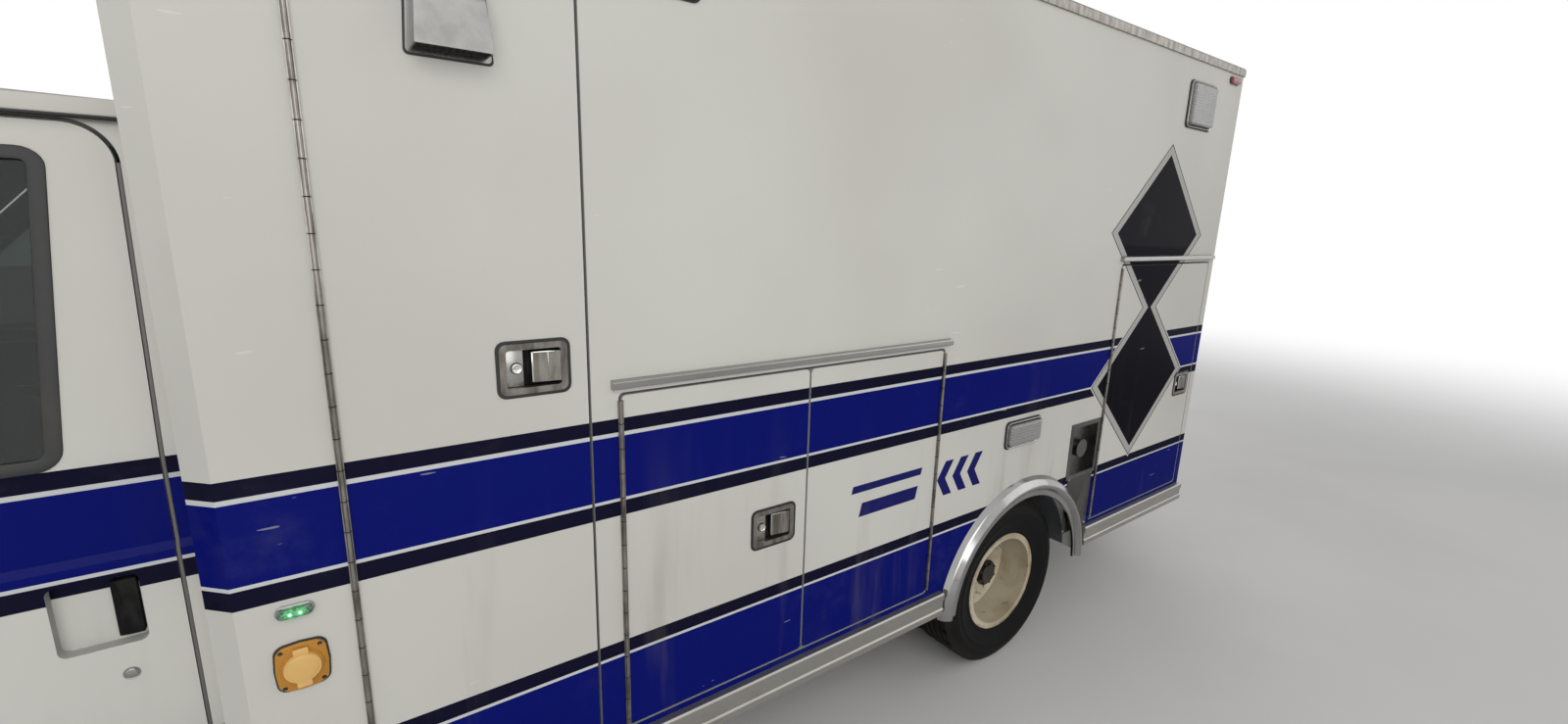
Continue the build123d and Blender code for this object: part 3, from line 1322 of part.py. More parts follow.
def module_walls(knuckles):
    """Left, right, front and rear walls with their openings."""
    box = along_z(module_plan(), MODULE_SILL_Z, MODULE_WALL_TOP_Z)
    inner = (-WALL_INNER_Y, WALL_INNER_Y)
    tall = (MODULE_SILL_Z, MODULE_WALL_TOP_Z)
    side = box & block((-OUT, OUT), (WALL_INNER_Y, OUT), tall)
    side -= cylinder_y(REAR_AXLE_X, ARCH_CENTRE_Z, 0, OUT, 2 * ARCH_RADIUS)
    left = side
    for opening in (TALL_BOX, PAIR_BOX, REAR_BOX):
        left -= door_opening(opening, MODULE_HALF_WIDTH)
    low, high, bottom, top = FUEL_BOX
    left -= block((low, high), (WALL_INNER_Y, OUT), (bottom, top))
    right = side
    for opening in (ENTRY_BOX, REAR_BOX):
        right -= door_opening(opening, MODULE_HALF_WIDTH)
    right = right_of(right)
    front = block((MODULE_FRONT_X - WALL, MODULE_FRONT_X), inner, tall)
    hole = window_outline(
        -PASSAGE_HALF_WIDTH, PASSAGE_HALF_WIDTH, PASSAGE_BOTTOM_Z, PASSAGE_TOP_Z, WINDOW_CORNER_RADIUS
    )
    boot = along_x(offset(hole, BOOT_WALL), MODULE_FRONT_X, CAB_REAR_X)
    front = (front + boot) - along_x(hole, MODULE_FRONT_X - 2 * WALL, CAB_REAR_X + MERGE)
    under = (-UNDER_HALF_WIDTH, UNDER_HALF_WIDTH)
    front -= block((0, OUT), under, (0, FLOOR_TOP_Z - FLOOR_THICKNESS))
    rear = block((MODULE_REAR_X, MODULE_REAR_X + WALL), inner, tall)
    rear -= block((-OUT, 0), under, (0, FLOOR_TOP_Z - FLOOR_THICKNESS))
    rear -= to_rear(door_opening(BACK_BOX, REAR_FACE))
    return {
        "module_left_wall": joined(left, *knuckles["left"]),
        "module_right_wall": joined(right, *knuckles["right"]),
        "module_front_wall": front,
        "module_rear_frame": joined(rear, *knuckles["rear"]),
    }


def module_roof():
    """Roof panel with its edge cap standing out over the walls."""
    roof = along_z(offset(module_plan(), ROOF_OVERHANG), MODULE_WALL_TOP_Z, MODULE_ROOF_Z)
    return fillet(roof.edges().group_by(Axis.Z)[-1], ROOF_EDGE_RADIUS)


def compartment_box(box, grow):
    """Space behind an opening, grown by a sheet's thickness when outside size is wanted."""
    low, high, bottom, top = box
    reach = COMPARTMENT_CLEARANCE + grow
    return block(
        (low - reach, high + reach),
        (WALL_INNER_Y - COMPARTMENT_DEPTH - grow, WALL_INNER_Y),
        (bottom - reach, top + reach),
    )


def compartments(boxes):
    """Back, end, floor and top sheets behind each opening."""
    sheet = COMPARTMENT_SHEET
    reach = COMPARTMENT_CLEARANCE
    inner = WALL_INNER_Y - COMPARTMENT_DEPTH
    sheets = []
    for low, high, bottom, top in boxes:
        low, high = low - reach, high + reach
        bottom, top = bottom - reach, top + reach
        tall = (bottom - sheet, top + sheet)
        deep = (inner + PIECE_GAP, WALL_INNER_Y)
        wide = (low + PIECE_GAP, high - PIECE_GAP)
        sheets.append(block((low - sheet, high + sheet), (inner - sheet, inner), tall))
        sheets += [block(end, deep, tall) for end in ((low - sheet, low), (high, high + sheet))]
        sheets += [block(wide, deep, flat) for flat in ((bottom - sheet, bottom), (top, top + sheet))]
    return sheets


LEFT_BOXES = (TALL_BOX, PAIR_BOX, REAR_BOX)
RIGHT_BOXES = (REAR_BOX,)
STEP_INNER_Y = 690.0
STEP_TREAD_Z = (478.0, 668.0)
STEP_TREAD_Y = 935.0
STEP_SHEET = 6.0
STEP_CLEARANCE = 6.0


INNER_LINE_Y = WALL_INNER_Y - COMPARTMENT_DEPTH - COMPARTMENT_SHEET
STEP_X = (ENTRY_BOX[0] - STEP_CLEARANCE, ENTRY_BOX[1] + STEP_CLEARANCE)
STEP_OUTER_X = (STEP_X[0] - STEP_SHEET - PIECE_GAP, STEP_X[1] + STEP_SHEET + PIECE_GAP)
FLOOR_Z = (FLOOR_TOP_Z - FLOOR_THICKNESS, FLOOR_TOP_Z)


def entry_step():
    """Two treads, their risers and two end plates inside the right entry door."""
    low_z, mid_z = STEP_TREAD_Z
    sheet = STEP_SHEET
    rows = (
        # Y from and to, Z from and to
        (-WALL_INNER_Y, sheet - STEP_TREAD_Y, low_z - sheet, low_z),
        (-STEP_TREAD_Y, sheet - STEP_TREAD_Y, low_z + PIECE_GAP, mid_z - sheet - PIECE_GAP),
        (-STEP_TREAD_Y, sheet - STEP_INNER_Y, mid_z - sheet, mid_z),
        (-STEP_INNER_Y, sheet - STEP_INNER_Y, mid_z + PIECE_GAP, FLOOR_TOP_Z),
    )
    step = [block(STEP_X, row[:2], row[2:]) for row in rows]
    for edge in (STEP_OUTER_X[0], STEP_X[1] + PIECE_GAP):
        plate_y = (-WALL_INNER_Y, sheet - STEP_INNER_Y)
        step.append(block((edge, edge + sheet), plate_y, (low_z - sheet, FLOOR_TOP_Z)))
    return step


def side_floor(cuts):
    """Left floor panels between cuts along X, with the tub over the rear wheels."""
    edges = [MODULE_REAR_X + WALL, *[x for cut in cuts for x in cut], MODULE_FRONT_X - WALL]
    across = (INNER_LINE_Y + PIECE_GAP, WALL_INNER_Y)
    inside = 2 * (ARCH_RADIUS + TUB_CLEARANCE)
    room = cylinder_y(REAR_AXLE_X, ARCH_CENTRE_Z, *across, inside)
    tub = cylinder_y(REAR_AXLE_X, ARCH_CENTRE_Z, *across, inside + 2 * TUB_THICKNESS) - room
    tub &= block((-OUT, OUT), (0, OUT), (MODULE_SILL_Z, FLOOR_Z[0] - PIECE_GAP))
    panels = [block(ends, across, FLOOR_Z) - room for ends in zip(edges[::2], edges[1::2])]
    return panels + tub.solids()


def module_floor():
    """Floor panels round the compartments, a tub over each pair of wheels and the steps."""
    reach = COMPARTMENT_CLEARANCE + COMPARTMENT_SHEET
    left = [(low - reach, high + reach) for low, high, *_ in reversed(LEFT_BOXES)]
    right = [(low - reach, high + reach) for low, high, *_ in RIGHT_BOXES]
    floor = [
        block((MODULE_REAR_X + WALL, MODULE_FRONT_X - WALL), (-INNER_LINE_Y, INNER_LINE_Y), FLOOR_Z)
    ]
    floor += side_floor(left)
    floor += [right_of(piece) for piece in side_floor([*right, STEP_OUTER_X])]
    well = (STEP_SHEET + PIECE_GAP - STEP_INNER_Y, -INNER_LINE_Y - PIECE_GAP)
    floor.append(block(STEP_OUTER_X, well, FLOOR_Z))
    return floor + entry_step()


# Trim on the walls

def fenderettes():
    """Rounded trim ring and rubber flare round each rear wheel opening."""
    inner = ARCH_RADIUS
    outer = ARCH_RADIUS + FENDERETTE_WIDTH
    face = MODULE_HALF_WIDTH
    ring = ring_of(
        (inner, face, 0),
        (inner, face + FENDERETTE_DEPTH / 2, FENDERETTE_DEPTH / 4),
        (inner + FENDERETTE_WIDTH / 3, face + FENDERETTE_DEPTH, FENDERETTE_DEPTH / 3),
        (outer - FENDERETTE_WIDTH / 6, face + FENDERETTE_DEPTH / 2, FENDERETTE_DEPTH / 3),
        (outer, face, 0),
    )
    ring += ring_of(
        (inner - FLARE_WIDTH, face + FLARE_DEPTH - FLARE_WIDTH / 2, 0),
        (inner - FLARE_WIDTH, face + FLARE_DEPTH, 0),
        (inner + MERGE, face + FLARE_DEPTH, 0),
        (inner + MERGE, face + FLARE_DEPTH - FLARE_WIDTH / 2, 0),
    )
    ring = Pos(REAR_AXLE_X, 0, ARCH_CENTRE_Z) * ring
    ring &= block((-OUT, OUT), (0, OUT), (FENDERETTE_BOTTOM_Z, OUT))
    return [ring, right_of(ring)]


def rub_rail(low, high):
    """Grooved rail along the sill of the left wall."""
    face = MODULE_HALF_WIDTH
    top = RUB_RAIL_TOP_Z
    bottom = top - RUB_RAIL_HEIGHT
    out = face + RUB_RAIL_DEPTH
    cut = RUB_RAIL_GROOVE
    third = RUB_RAIL_HEIGHT / 3
    shape = outline(
        (face, bottom, 0),
        (out - cut, bottom, 0),
        (out, bottom + cut, 0),
        (out, bottom + third - cut, 0),
        (out - cut, bottom + third, 0),
        (out - cut, top - third, 0),
        (out, top - third + cut, 0),
        (out, top - cut, 0),
        (out - cut, top, 0),
        (face, top, 0),
    )
    return along_x(shape, low, high)


def drip_rail(low, high, bottom, face):
    """Small gutter over a door on a wall facing +Y."""
    shape = outline(
        (face, bottom, 0),
        (face + DRIP_RAIL_DEPTH, bottom, DRIP_RAIL_RADIUS),
        (face + DRIP_RAIL_DEPTH, bottom + DRIP_RAIL_HEIGHT, DRIP_RAIL_RADIUS),
        (face + DRIP_RAIL_DEPTH / 2, bottom + DRIP_RAIL_HEIGHT - DRIP_RAIL_DIP, 0),
        (face, bottom + DRIP_RAIL_HEIGHT, 0),
    )
    return along_x(shape, low, high)


DRIP_RAIL_LIFT = 16.0
DRIP_RAIL_REACH = 22.0


def rails():
    """Rub rails at the sill and drip rails over the doors."""
    start = REAR_AXLE_X + ARCH_RADIUS + FENDERETTE_WIDTH + PIECE_GAP
    back = REAR_AXLE_X - ARCH_RADIUS - FENDERETTE_WIDTH - PIECE_GAP
    front_end = MODULE_FRONT_X - CORNER_CHAMFER
    rear_end = MODULE_REAR_X + CORNER_CHAMFER
    reach = DRIP_RAIL_REACH
    solids = [rub_rail(start, front_end), rub_rail(rear_end, back)]
    solids.append(right_of(rub_rail(start, ENTRY_BOX[0] - reach)))
    solids.append(right_of(rub_rail(ENTRY_BOX[1] + reach, front_end)))
    solids.append(right_of(rub_rail(rear_end, back)))
    doorways = {"left": LEFT_BOXES, "right": (ENTRY_BOX, REAR_BOX), "rear": (BACK_BOX,)}
    for wall, boxes in doorways.items():
        for low, high, _, top in boxes:
            rail = drip_rail(low - reach, high + reach, top + DRIP_RAIL_LIFT, FACES[wall])
            solids.append(PLACES[wall](rail))
    return solids


# Lamps as wall, centre across the wall, centre height, width and height
LIGHT_FLANGE = 7.0
LIGHT_HEIGHT = 24.0
LIGHT_RIM = 16.0
LIGHT_RADIUS = 22.0
WARNING_LIGHTS = (
    ("left", 185.0, 2482.0, 245.0, 190.0),
    ("left", -2560.0, 2472.0, 262.0, 206.0),
    ("left", -1420.0, 1092.0, 236.0, 116.0),
    ("right", 515.0, 2545.0, 245.0, 140.0),
    ("right", -2560.0, 2472.0, 262.0, 206.0),
    ("right", -1420.0, 1092.0, 236.0, 116.0),
    ("front", -930.0, 2480.0, 236.0, 180.0),
    ("front", -480.0, 2480.0, 236.0, 180.0),
    ("front", 0.0, 2480.0, 236.0, 180.0),
    ("front", 480.0, 2480.0, 236.0, 180.0),
    ("front", 930.0, 2480.0, 236.0, 180.0),
    ("rear", -960.0, 2500.0, 236.0, 180.0),
    ("rear", 0.0, 2525.0, 236.0, 150.0),
    ("rear", 960.0, 2500.0, 236.0, 180.0),
)
TAIL_LAMP_Y = 905.0
TAIL_LAMPS = tuple(
    ("rear", side * TAIL_LAMP_Y, height, 190.0, 122.0)
    for side in (-1, 1)
    for height in (1010.0, 1150.0, 1290.0)
)
MARKER_WIDTH = 104.0
MARKER_HEIGHT = 34.0
MARKER_Z = 2626.0
MARKER_DEPTH = 18.0
MARKERS = tuple(
    (wall, place, MARKER_Z)
    for wall, places in (
        ("left", (-2880.0, 960.0)),
        ("right", (-2880.0, 960.0)),
        ("front", (-1080.0, -160.0, 0.0, 160.0, 1080.0)),
        ("rear", (-1080.0, -160.0, 0.0, 160.0, 1080.0)),
    )
    for place in places
)
CHARGE_LAMP = ("left", 953.0, 1143.0, 63.0, 26.0)


def lamp(wall, across, height, width, tall):
    """Lamp with a flange and a raised lens."""
    face = FACES[wall]
    flange = Pos(across, height) * RectangleRounded(width, tall, LIGHT_RADIUS)
    lens = Pos(across, height) * RectangleRounded(
        width - 2 * LIGHT_RIM, tall - 2 * LIGHT_RIM, LIGHT_RADIUS - LIGHT_RIM / 2
    )
    solid = along_y(flange, face, face + LIGHT_FLANGE) + along_y(lens, face, face + LIGHT_HEIGHT)
    return PLACES[wall](solid)


def marker(wall, across, height, width=MARKER_WIDTH, tall=MARKER_HEIGHT):
    """Small lamp with full round ends."""
    shape = Pos(across, height) * SlotOverall(width, tall)
    return PLACES[wall](along_y(shape, FACES[wall], FACES[wall] + MARKER_DEPTH))


def marker_lamps():
    """Markers under the roof edge and the charging lamp over the inlet."""
    return [marker(*row) for row in MARKERS] + [marker(*CHARGE_LAMP)]


def fuel_pocket():
    """Open tray in the left wall with a bezel and the filler cap."""
    low, high, bottom, top = FUEL_BOX
    face = MODULE_HALF_WIDTH
    tray = block((low, high), (face - FUEL_DEPTH, face), (bottom, top))
    rim = FUEL_BEZEL
    tray += block((low - rim, high + rim), (face, face + FUEL_PROUD), (bottom - rim, top + rim))
    sheet = FUEL_SHEET
    tray -= block(
        (low + sheet, high - sheet), (face - FUEL_DEPTH + sheet, OUT), (bottom + sheet, top - sheet)
    )
    middle = ((low + high) / 2, (bottom + top) / 2)
    return tray + cylinder_y(*middle, face - FUEL_DEPTH, face - 2 * sheet, FUEL_CAP_DIAMETER)


def shore_inlet():
    """Square flange with round lobes, and its round lid shut."""
    x, z = INLET_CENTRE
    face = MODULE_HALF_WIDTH
    flange = Pos(x, z) * RectangleRounded(INLET_WIDTH, INLET_HEIGHT, INLET_WIDTH / 5)
    plate = along_y(flange, face, face + INLET_PLATE)
    lid = cylinder_y(x, z, face, face + INLET_LID_HEIGHT, INLET_LID_DIAMETER)
    knuckle_z = z + INLET_LID_DIAMETER / 2
    knuckle = block(
        (x - INLET_LID_DIAMETER / 4, x + INLET_LID_DIAMETER / 4),
        (face, face + INLET_LID_HEIGHT - INLET_PLATE / 2),
        (knuckle_z - INLET_PLATE, knuckle_z + INLET_PLATE / 2),
    )
    return plate + lid + knuckle


# Vent hood on the tall door, wider at its open lower end
VENT_BOTTOM = (539.0, 672.0, 2196.0)
VENT_TOP = (553.0, 658.0, 2392.0)
VENT_DEPTH = 58.0
VENT_MIDDLE_DEPTH = 46.0
VENT_SHEET = 3.0
VENT_FLANGE = 8.0


def vent_hood():
    """Sheet hood that leans out to its open lower end, on a flat flange."""
    face = MODULE_HALF_WIDTH
    low, high, bottom = VENT_BOTTOM
    top_low, top_high, top = VENT_TOP
    sheet = VENT_SHEET
    front = outline((low, bottom, 0), (top_low, top, 30), (top_high, top, 30), (high, bottom, 0))
    side = outline(
        (face, bottom, 0),
        (face + VENT_DEPTH, bottom, 0),
        (face + VENT_MIDDLE_DEPTH, (bottom + top) / 2, 90),
        (face, top, 0),
    )
    hood = along_y(front, face, OUT) & along_x(side, 0, OUT)
    inner_front = offset(front, -sheet)
    hollow = along_y(inner_front, face, OUT) & along_x(offset(side, -sheet), 0, OUT)
    hollow += Pos(0, 0, -VENT_FLANGE) * hollow
    flange = along_y(offset(front, VENT_FLANGE), face, face + sheet)
    return flange + (hood - hollow)


# Inside the module
CABINET_SKIN = 4.0
CABINET_INNER_Y = WALL_INNER_Y - COMPARTMENT_DEPTH - COMPARTMENT_SHEET - CABINET_SKIN
CABINET_TOP_Z = 2600.0
CABINET_SHELF = (-1900.0, -1010.0, 1120.0, 1560.0)
CABINET_SHELF_DEPTH = 360.0
CABINET_GAP = 2.0
BENCH_INNER_Y = 640.0
BENCH_FRONT_X = -20.0
BENCH_TOP_Z = 1290.0
PAD_THICKNESS = 80.0
PAD_MARGIN = 6.0
BACK_PAD_Z = (1420.0, 1680.0)
BACK_PAD_THICKNESS = 60.0
PAD_RADIUS = 20.0


def interior_cabinets():
    """Cabinet wall over the left compartments, and the bench box on the right."""
    rear_x = REAR_BOX[0] - COMPARTMENT_CLEARANCE - COMPARTMENT_SHEET
    cabinet = block(
        (rear_x, TALL_BOX[0] - COMPARTMENT_CLEARANCE - COMPARTMENT_SHEET - CABINET_GAP),
        (CABINET_INNER_Y, WALL_INNER_Y),
        (FLOOR_TOP_Z, CABINET_TOP_Z),
    )
    for box in (PAIR_BOX, REAR_BOX):
        room = compartment_box(box, COMPARTMENT_SHEET + CABINET_GAP)
        cabinet -= room + Pos(0, -COMPARTMENT_SHEET - CABINET_GAP, 0) * room
    low, high, bottom, top = CABINET_SHELF
    cabinet -= block((low, high), (0, CABINET_INNER_Y + CABINET_SHELF_DEPTH), (bottom, top))
    bench_rear = REAR_BOX[1] + COMPARTMENT_CLEARANCE + COMPARTMENT_SHEET + CABINET_GAP
    bench = block(
        (bench_rear, BENCH_FRONT_X), (-WALL_INNER_Y, -BENCH_INNER_Y), (FLOOR_TOP_Z, BENCH_TOP_Z)
    )
    return [cabinet, bench]


def bench_pads():
    """Seat pad on the bench and back pad on the wall behind it."""
    bench_rear = REAR_BOX[1] + COMPARTMENT_CLEARANCE + COMPARTMENT_SHEET + CABINET_GAP
    across = (PAD_MARGIN - WALL_INNER_Y, -BENCH_INNER_Y)
    low = BENCH_TOP_Z + PIECE_GAP
    seat = along_x(
        window_outline(*across, low, low + PAD_THICKNESS, PAD_RADIUS),
        bench_rear + PAD_MARGIN,
        BENCH_FRONT_X - PAD_MARGIN,
    )
    face = PIECE_GAP - WALL_INNER_Y
    back = along_x(
        window_outline(face, face + BACK_PAD_THICKNESS, *BACK_PAD_Z, PAD_RADIUS),
        bench_rear + PAD_MARGIN,
        BENCH_FRONT_X - PAD_MARGIN,
    )
    return [seat, back]


def rear_bumper():
    """Folded step across the rear with brackets from the rails."""
    front = MODULE_REAR_X - REAR_STEP_GAP
    half = REAR_STEP_HALF_WIDTH
    cut = CORNER_CHAMFER * 2
    shape = outline(
        (front, -half, 0),
        (REAR_STEP_X + cut, -half, 0),
        (REAR_STEP_X, cut - half, 0),
        (REAR_STEP_X, half - cut, 0),
        (REAR_STEP_X + cut, half, 0),
        (front, half, 0),
    )
    bottom = REAR_STEP_TOP_Z - REAR_STEP_HEIGHT
    step = along_z(shape, bottom, REAR_STEP_TOP_Z)
    step -= along_z(offset(shape, -REAR_STEP_SHEET), 0, REAR_STEP_TOP_Z - REAR_STEP_SHEET)
    web = (RAIL_OUTER_Y - RAIL_FLANGE, RAIL_OUTER_Y)
    face = front - REAR_STEP_SHEET
    bracket = block((face, RAIL_REAR_X), web, (RAIL_BOTTOM_Z, REAR_STEP_TOP_Z - REAR_STEP_SHEET))
    step += bracket + right_of(bracket)
    return step


def build():
    """Every node by name, as one solid or a list of solids."""
    doors, knuckles = module_doors()
    wheels = {
        "rear_wheels": rear_wheel_pair(),
        "rear_tyres": rear_tyre_pair(),
        "front_wheel": front_wheel(),
        "front_tyre": front_tyre(),
        "knuckle": knuckle(),
    }
    nodes = {}
    for name, piece in wheels.items():
        pieces = piece if isinstance(piece, list) else [piece]
        nodes[name + "_left"] = pieces
        nodes[name + "_right"] = [right_of(solid) for solid in pieces]
    nodes.update(cab_pieces())
    nodes.update(doors)
    nodes.update(module_walls(knuckles))
    nodes.update(
        {
            "tie_rod": tie_rod(),
            "front_axle": front_axle(),
            "rear_axle": rear_axle(),
            "engine_block": engine_block(),
            "chassis_frame": chassis_frame(),
            "fuel_tank": fuel_tank(),
            "exhaust": exhaust(),
            "front_bumper": front_bumper(),
            "dashboard": dashboard(),
            "cab_seats": cab_seats(),
            "module_roof": module_roof(),
            "module_floor": module_floor(),
            "left_compartments": compartments(LEFT_BOXES),
            "right_compartments": [right_of(solid) for solid in compartments(RIGHT_BOXES)],
            "interior_cabinets": interior_cabinets(),
            "bench_pads": bench_pads(),
            "fenderettes": fenderettes(),
            "rails": rails(),
            "warning_lights": [lamp(*row) for row in WARNING_LIGHTS],
            "tail_lamps": [lamp(*row) for row in TAIL_LAMPS],
            "marker_lamps": marker_lamps(),
            "fuel_pocket": fuel_pocket(),
            "shore_inlet": shore_inlet(),
            "vent_hood": vent_hood(),
            "rear_bumper": rear_bumper(),
        }
    )
    return nodes


os.makedirs("parts", exist_ok=True)
for node, made in build().items():
    pieces = made if isinstance(made, list) else [made]
    solids = [solid for piece in pieces for solid in piece.solids()]
    whole = Compound(children=solids) if len(solids) > 1 else solids[0]
    export_step(whole, f"parts/{node}.step")
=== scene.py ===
"""Looks of a box-bodied ambulance: its finishes, trim and small pieces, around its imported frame.

Metres, X forward, Y to the left, Z up, with the ground at Z zero.
"""

import logging
import math
from contextlib import contextmanager
from dataclasses import dataclass
from enum import Enum
from typing import Callable, Iterator, Sequence

import bmesh
import bpy
from mathutils import Matrix, Vector


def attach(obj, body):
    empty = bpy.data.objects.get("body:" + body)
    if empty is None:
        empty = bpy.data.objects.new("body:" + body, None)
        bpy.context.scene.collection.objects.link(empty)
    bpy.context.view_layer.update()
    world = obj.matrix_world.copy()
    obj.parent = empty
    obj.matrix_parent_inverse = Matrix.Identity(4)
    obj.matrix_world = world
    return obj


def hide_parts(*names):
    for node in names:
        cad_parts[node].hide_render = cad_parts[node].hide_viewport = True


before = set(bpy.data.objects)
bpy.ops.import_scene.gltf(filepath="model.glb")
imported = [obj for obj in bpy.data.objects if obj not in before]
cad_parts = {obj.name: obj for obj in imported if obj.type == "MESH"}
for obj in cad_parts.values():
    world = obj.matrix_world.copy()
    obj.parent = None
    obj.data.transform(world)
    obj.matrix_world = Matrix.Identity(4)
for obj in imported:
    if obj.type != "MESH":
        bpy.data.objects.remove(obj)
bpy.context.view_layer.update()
log = logging.getLogger("ambulance")

Test = Callable[[Vector, Vector], bool]
Point = Sequence[float]

MODULE_SIDE = 1.219
MODULE_FRONT = 1.085
MODULE_REAR = -3.025
CHAMFER = 0.042
FACE_MARGIN = 0.0006
AXLE_Z = 0.371
FRONT_AXLE_X = 2.528
REAR_AXLE_X = -1.485
CAB_SIDE = 1.012
# Rays that see the white backdrop
SEEN_RAYS = ("Camera", "Glossy", "Transmission")


class Wall(Enum):
    """Outer walls of the module that carry fittings."""

    LEFT = "left"
    RIGHT = "right"
    REAR = "rear"
    FRONT = "front"

    def face(self) -> float:
        """Distance of the wall's face from the vehicle's origin."""
        return {"rear": -MODULE_REAR, "front": MODULE_FRONT}.get(self.value, MODULE_SIDE)

    def place(self) -> Matrix:
        """Turns a piece made on the left wall to this one."""
        if self is Wall.RIGHT:
            return Matrix.Scale(-1.0, 4, (0.0, 1.0, 0.0))
        turn = {"left": 0.0, "rear": 90.0, "front": -90.0}[self.value]
        return Matrix.Rotation(math.radians(turn), 4, "Z")


def linear(colour: str) -> tuple[float, float, float, float]:
    """Linear colour of a hex one.

    Args:
        colour: Six hex digits after a hash sign, as seen on a screen.

    Returns:
        Red, green, blue and an alpha of one.
    """
    shares = [int(colour[at:at + 2], 16) / 255 for at in (1, 3, 5)]
    red, green, blue = (s / 12.92 if s <= 0.04045 else ((s + 0.055) / 1.055) ** 2.4 for s in shares)
    return red, green, blue, 1.0


class Graph:
    """The nodes of one material, made with short calls."""

    def __init__(self, name: str) -> None:
        """Starts a material with its shader."""
        self.material = bpy.data.materials.new(name)
        self.material.use_nodes = True
        self.tree = self.material.node_tree
        self.shader = self.tree.nodes["Principled BSDF"]
        self.place = self.node("TexCoord").outputs["Object"]
        split = self.node("SeparateXYZ")
        self.feed(split.inputs[0], self.place)
        self.x, self.y, self.z = split.outputs

    def node(self, kind: str, **settings: object) -> bpy.types.Node:
        """Adds a node of a kind with its settings."""
        made = self.tree.nodes.new("ShaderNode" + kind)
        for key, value in settings.items():
            setattr(made, key, value)
        return made

    def feed(self, socket: bpy.types.NodeSocket, value: object) -> None:
        """Links a socket to another, or sets it."""
        if isinstance(value, bpy.types.NodeSocket):
            self.tree.links.new(value, socket)
        else:
            socket.default_value = value

    def calc(self, operation: str, *values: object) -> bpy.types.NodeSocket:
        """Result of one sum on sockets or numbers."""
        made = self.node("Math", operation=operation)
        for socket, value in zip(made.inputs, values):
            self.feed(socket, value)
        return made.outputs[0]

    def size(self, value: object) -> bpy.types.NodeSocket:
        """Value without its sign."""
        return self.calc("ABSOLUTE", value)

    def over(self, value: object, limit: object) -> bpy.types.NodeSocket:
        """One where the value is over the limit, else zero."""
        return self.calc("GREATER_THAN", value, limit)

    def under(self, value: object, limit: object) -> bpy.types.NodeSocket:
        """One where the value is under the limit, else zero."""
        return self.calc("LESS_THAN", value, limit)

    def both(self, first: object, *others: object) -> bpy.types.NodeSocket:
        """Product of several masks."""
        for other in others:
            first = self.calc("MULTIPLY", first, other)
        return first

    def either(self, first: object, *others: object) -> bpy.types.NodeSocket:
        """Largest of several masks."""
        for other in others:
            first = self.calc("MAXIMUM", first, other)
        return first

    def flip(self, mask: object) -> bpy.types.NodeSocket:
        """One less the mask."""
        return self.calc("SUBTRACT", 1.0, mask)

    def less(self, first: object, second: object) -> bpy.types.NodeSocket:
        """The first less the second."""
        return self.calc("SUBTRACT", first, second)

    def plus(self, first: object, second: object) -> bpy.types.NodeSocket:
        """The first and the second together."""
        return self.calc("ADD", first, second)

    def off(self, value: object, place: float) -> bpy.types.NodeSocket:
        """How far a value is from a place, to either side."""
        return self.size(self.less(value, place))

    def far(self, first: object, second: object) -> bpy.types.NodeSocket:
        """Distance from two parts of it at right angles."""
        return self.calc("SQRT", self.plus(self.both(first, first), self.both(second, second)))

    def sine(self, value: object, rate: float) -> bpy.types.NodeSocket:
        """Wave along a value, with its rate in radians a metre."""
        return self.calc("SINE", self.both(value, rate))

    def scaled(self, value: object, by: object, and_add: object) -> bpy.types.NodeSocket:
        """Value times one number, and another added."""
        return self.calc("MULTIPLY_ADD", value, by, and_add)

    def band(self, value: object, low: float, high: float) -> bpy.types.NodeSocket:
        """One between two limits, else zero."""
        return self.both(self.over(value, low), self.under(value, high))

    def ramp(self, value: object, low: float, high: float) -> bpy.types.NodeSocket:
        """Smooth rise from zero at the low limit to one at the high limit."""
        made = self.node("MapRange", interpolation_type="SMOOTHSTEP")
        for socket, number in zip(made.inputs, (value, low, high, 0.0, 1.0)):
            self.feed(socket, number)
        return made.outputs[0]

    def noise(
        self, scale: float, detail: float = 3.0, stretch: Point = (1.0, 1.0, 1.0), rough: float = 0.55
    ) -> bpy.types.NodeSocket:
        """Noise in object space.

        Args:
            scale: Features in a metre.
            detail: Octaves.
            stretch: Factor on each axis, where a small one draws the pattern out.
            rough: Weight of the finer octaves.

        Returns:
            A factor around a half.
        """
        vector = self.place
        if tuple(stretch) != (1.0, 1.0, 1.0):
            mapping = self.node("Mapping")
            self.feed(mapping.inputs["Vector"], self.place)
            mapping.inputs["Scale"].default_value = stretch
            vector = mapping.outputs[0]
        made = self.node("TexNoise")
        self.feed(made.inputs["Vector"], vector)
        made.inputs["Scale"].default_value = scale
        made.inputs["Detail"].default_value = detail
        made.inputs["Roughness"].default_value = rough
        return made.outputs["Fac"]

    def cells(self, scale: float) -> bpy.types.NodeSocket:
        """Distance in a cell pattern."""
        made = self.node("TexVoronoi", feature="F1")
        self.feed(made.inputs["Vector"], self.place)
        made.inputs["Scale"].default_value = scale
        return made.outputs["Distance"]

    def mix(self, mask: object, first: object, second: object) -> bpy.types.NodeSocket:
        """Blend of two colours."""
        made = self.node("Mix", data_type="RGBA")
        self.feed(made.inputs["Factor"], mask)
        for key, value in (("A", first), ("B", second)):
            socket = next(s for s in made.inputs if s.name == key and s.type == "RGBA")
            self.feed(socket, linear(value) if isinstance(value, str) else value)
        return next(s for s in made.outputs if s.type == "RGBA")

    def blend(self, mask: object, first: object, second: object) -> bpy.types.NodeSocket:
        """Blend of two numbers."""
        made = self.node("Mix", data_type="FLOAT")
        for number, value in ((0, mask), (2, first), (3, second)):
            self.feed(made.inputs[number], value)
        return made.outputs[0]

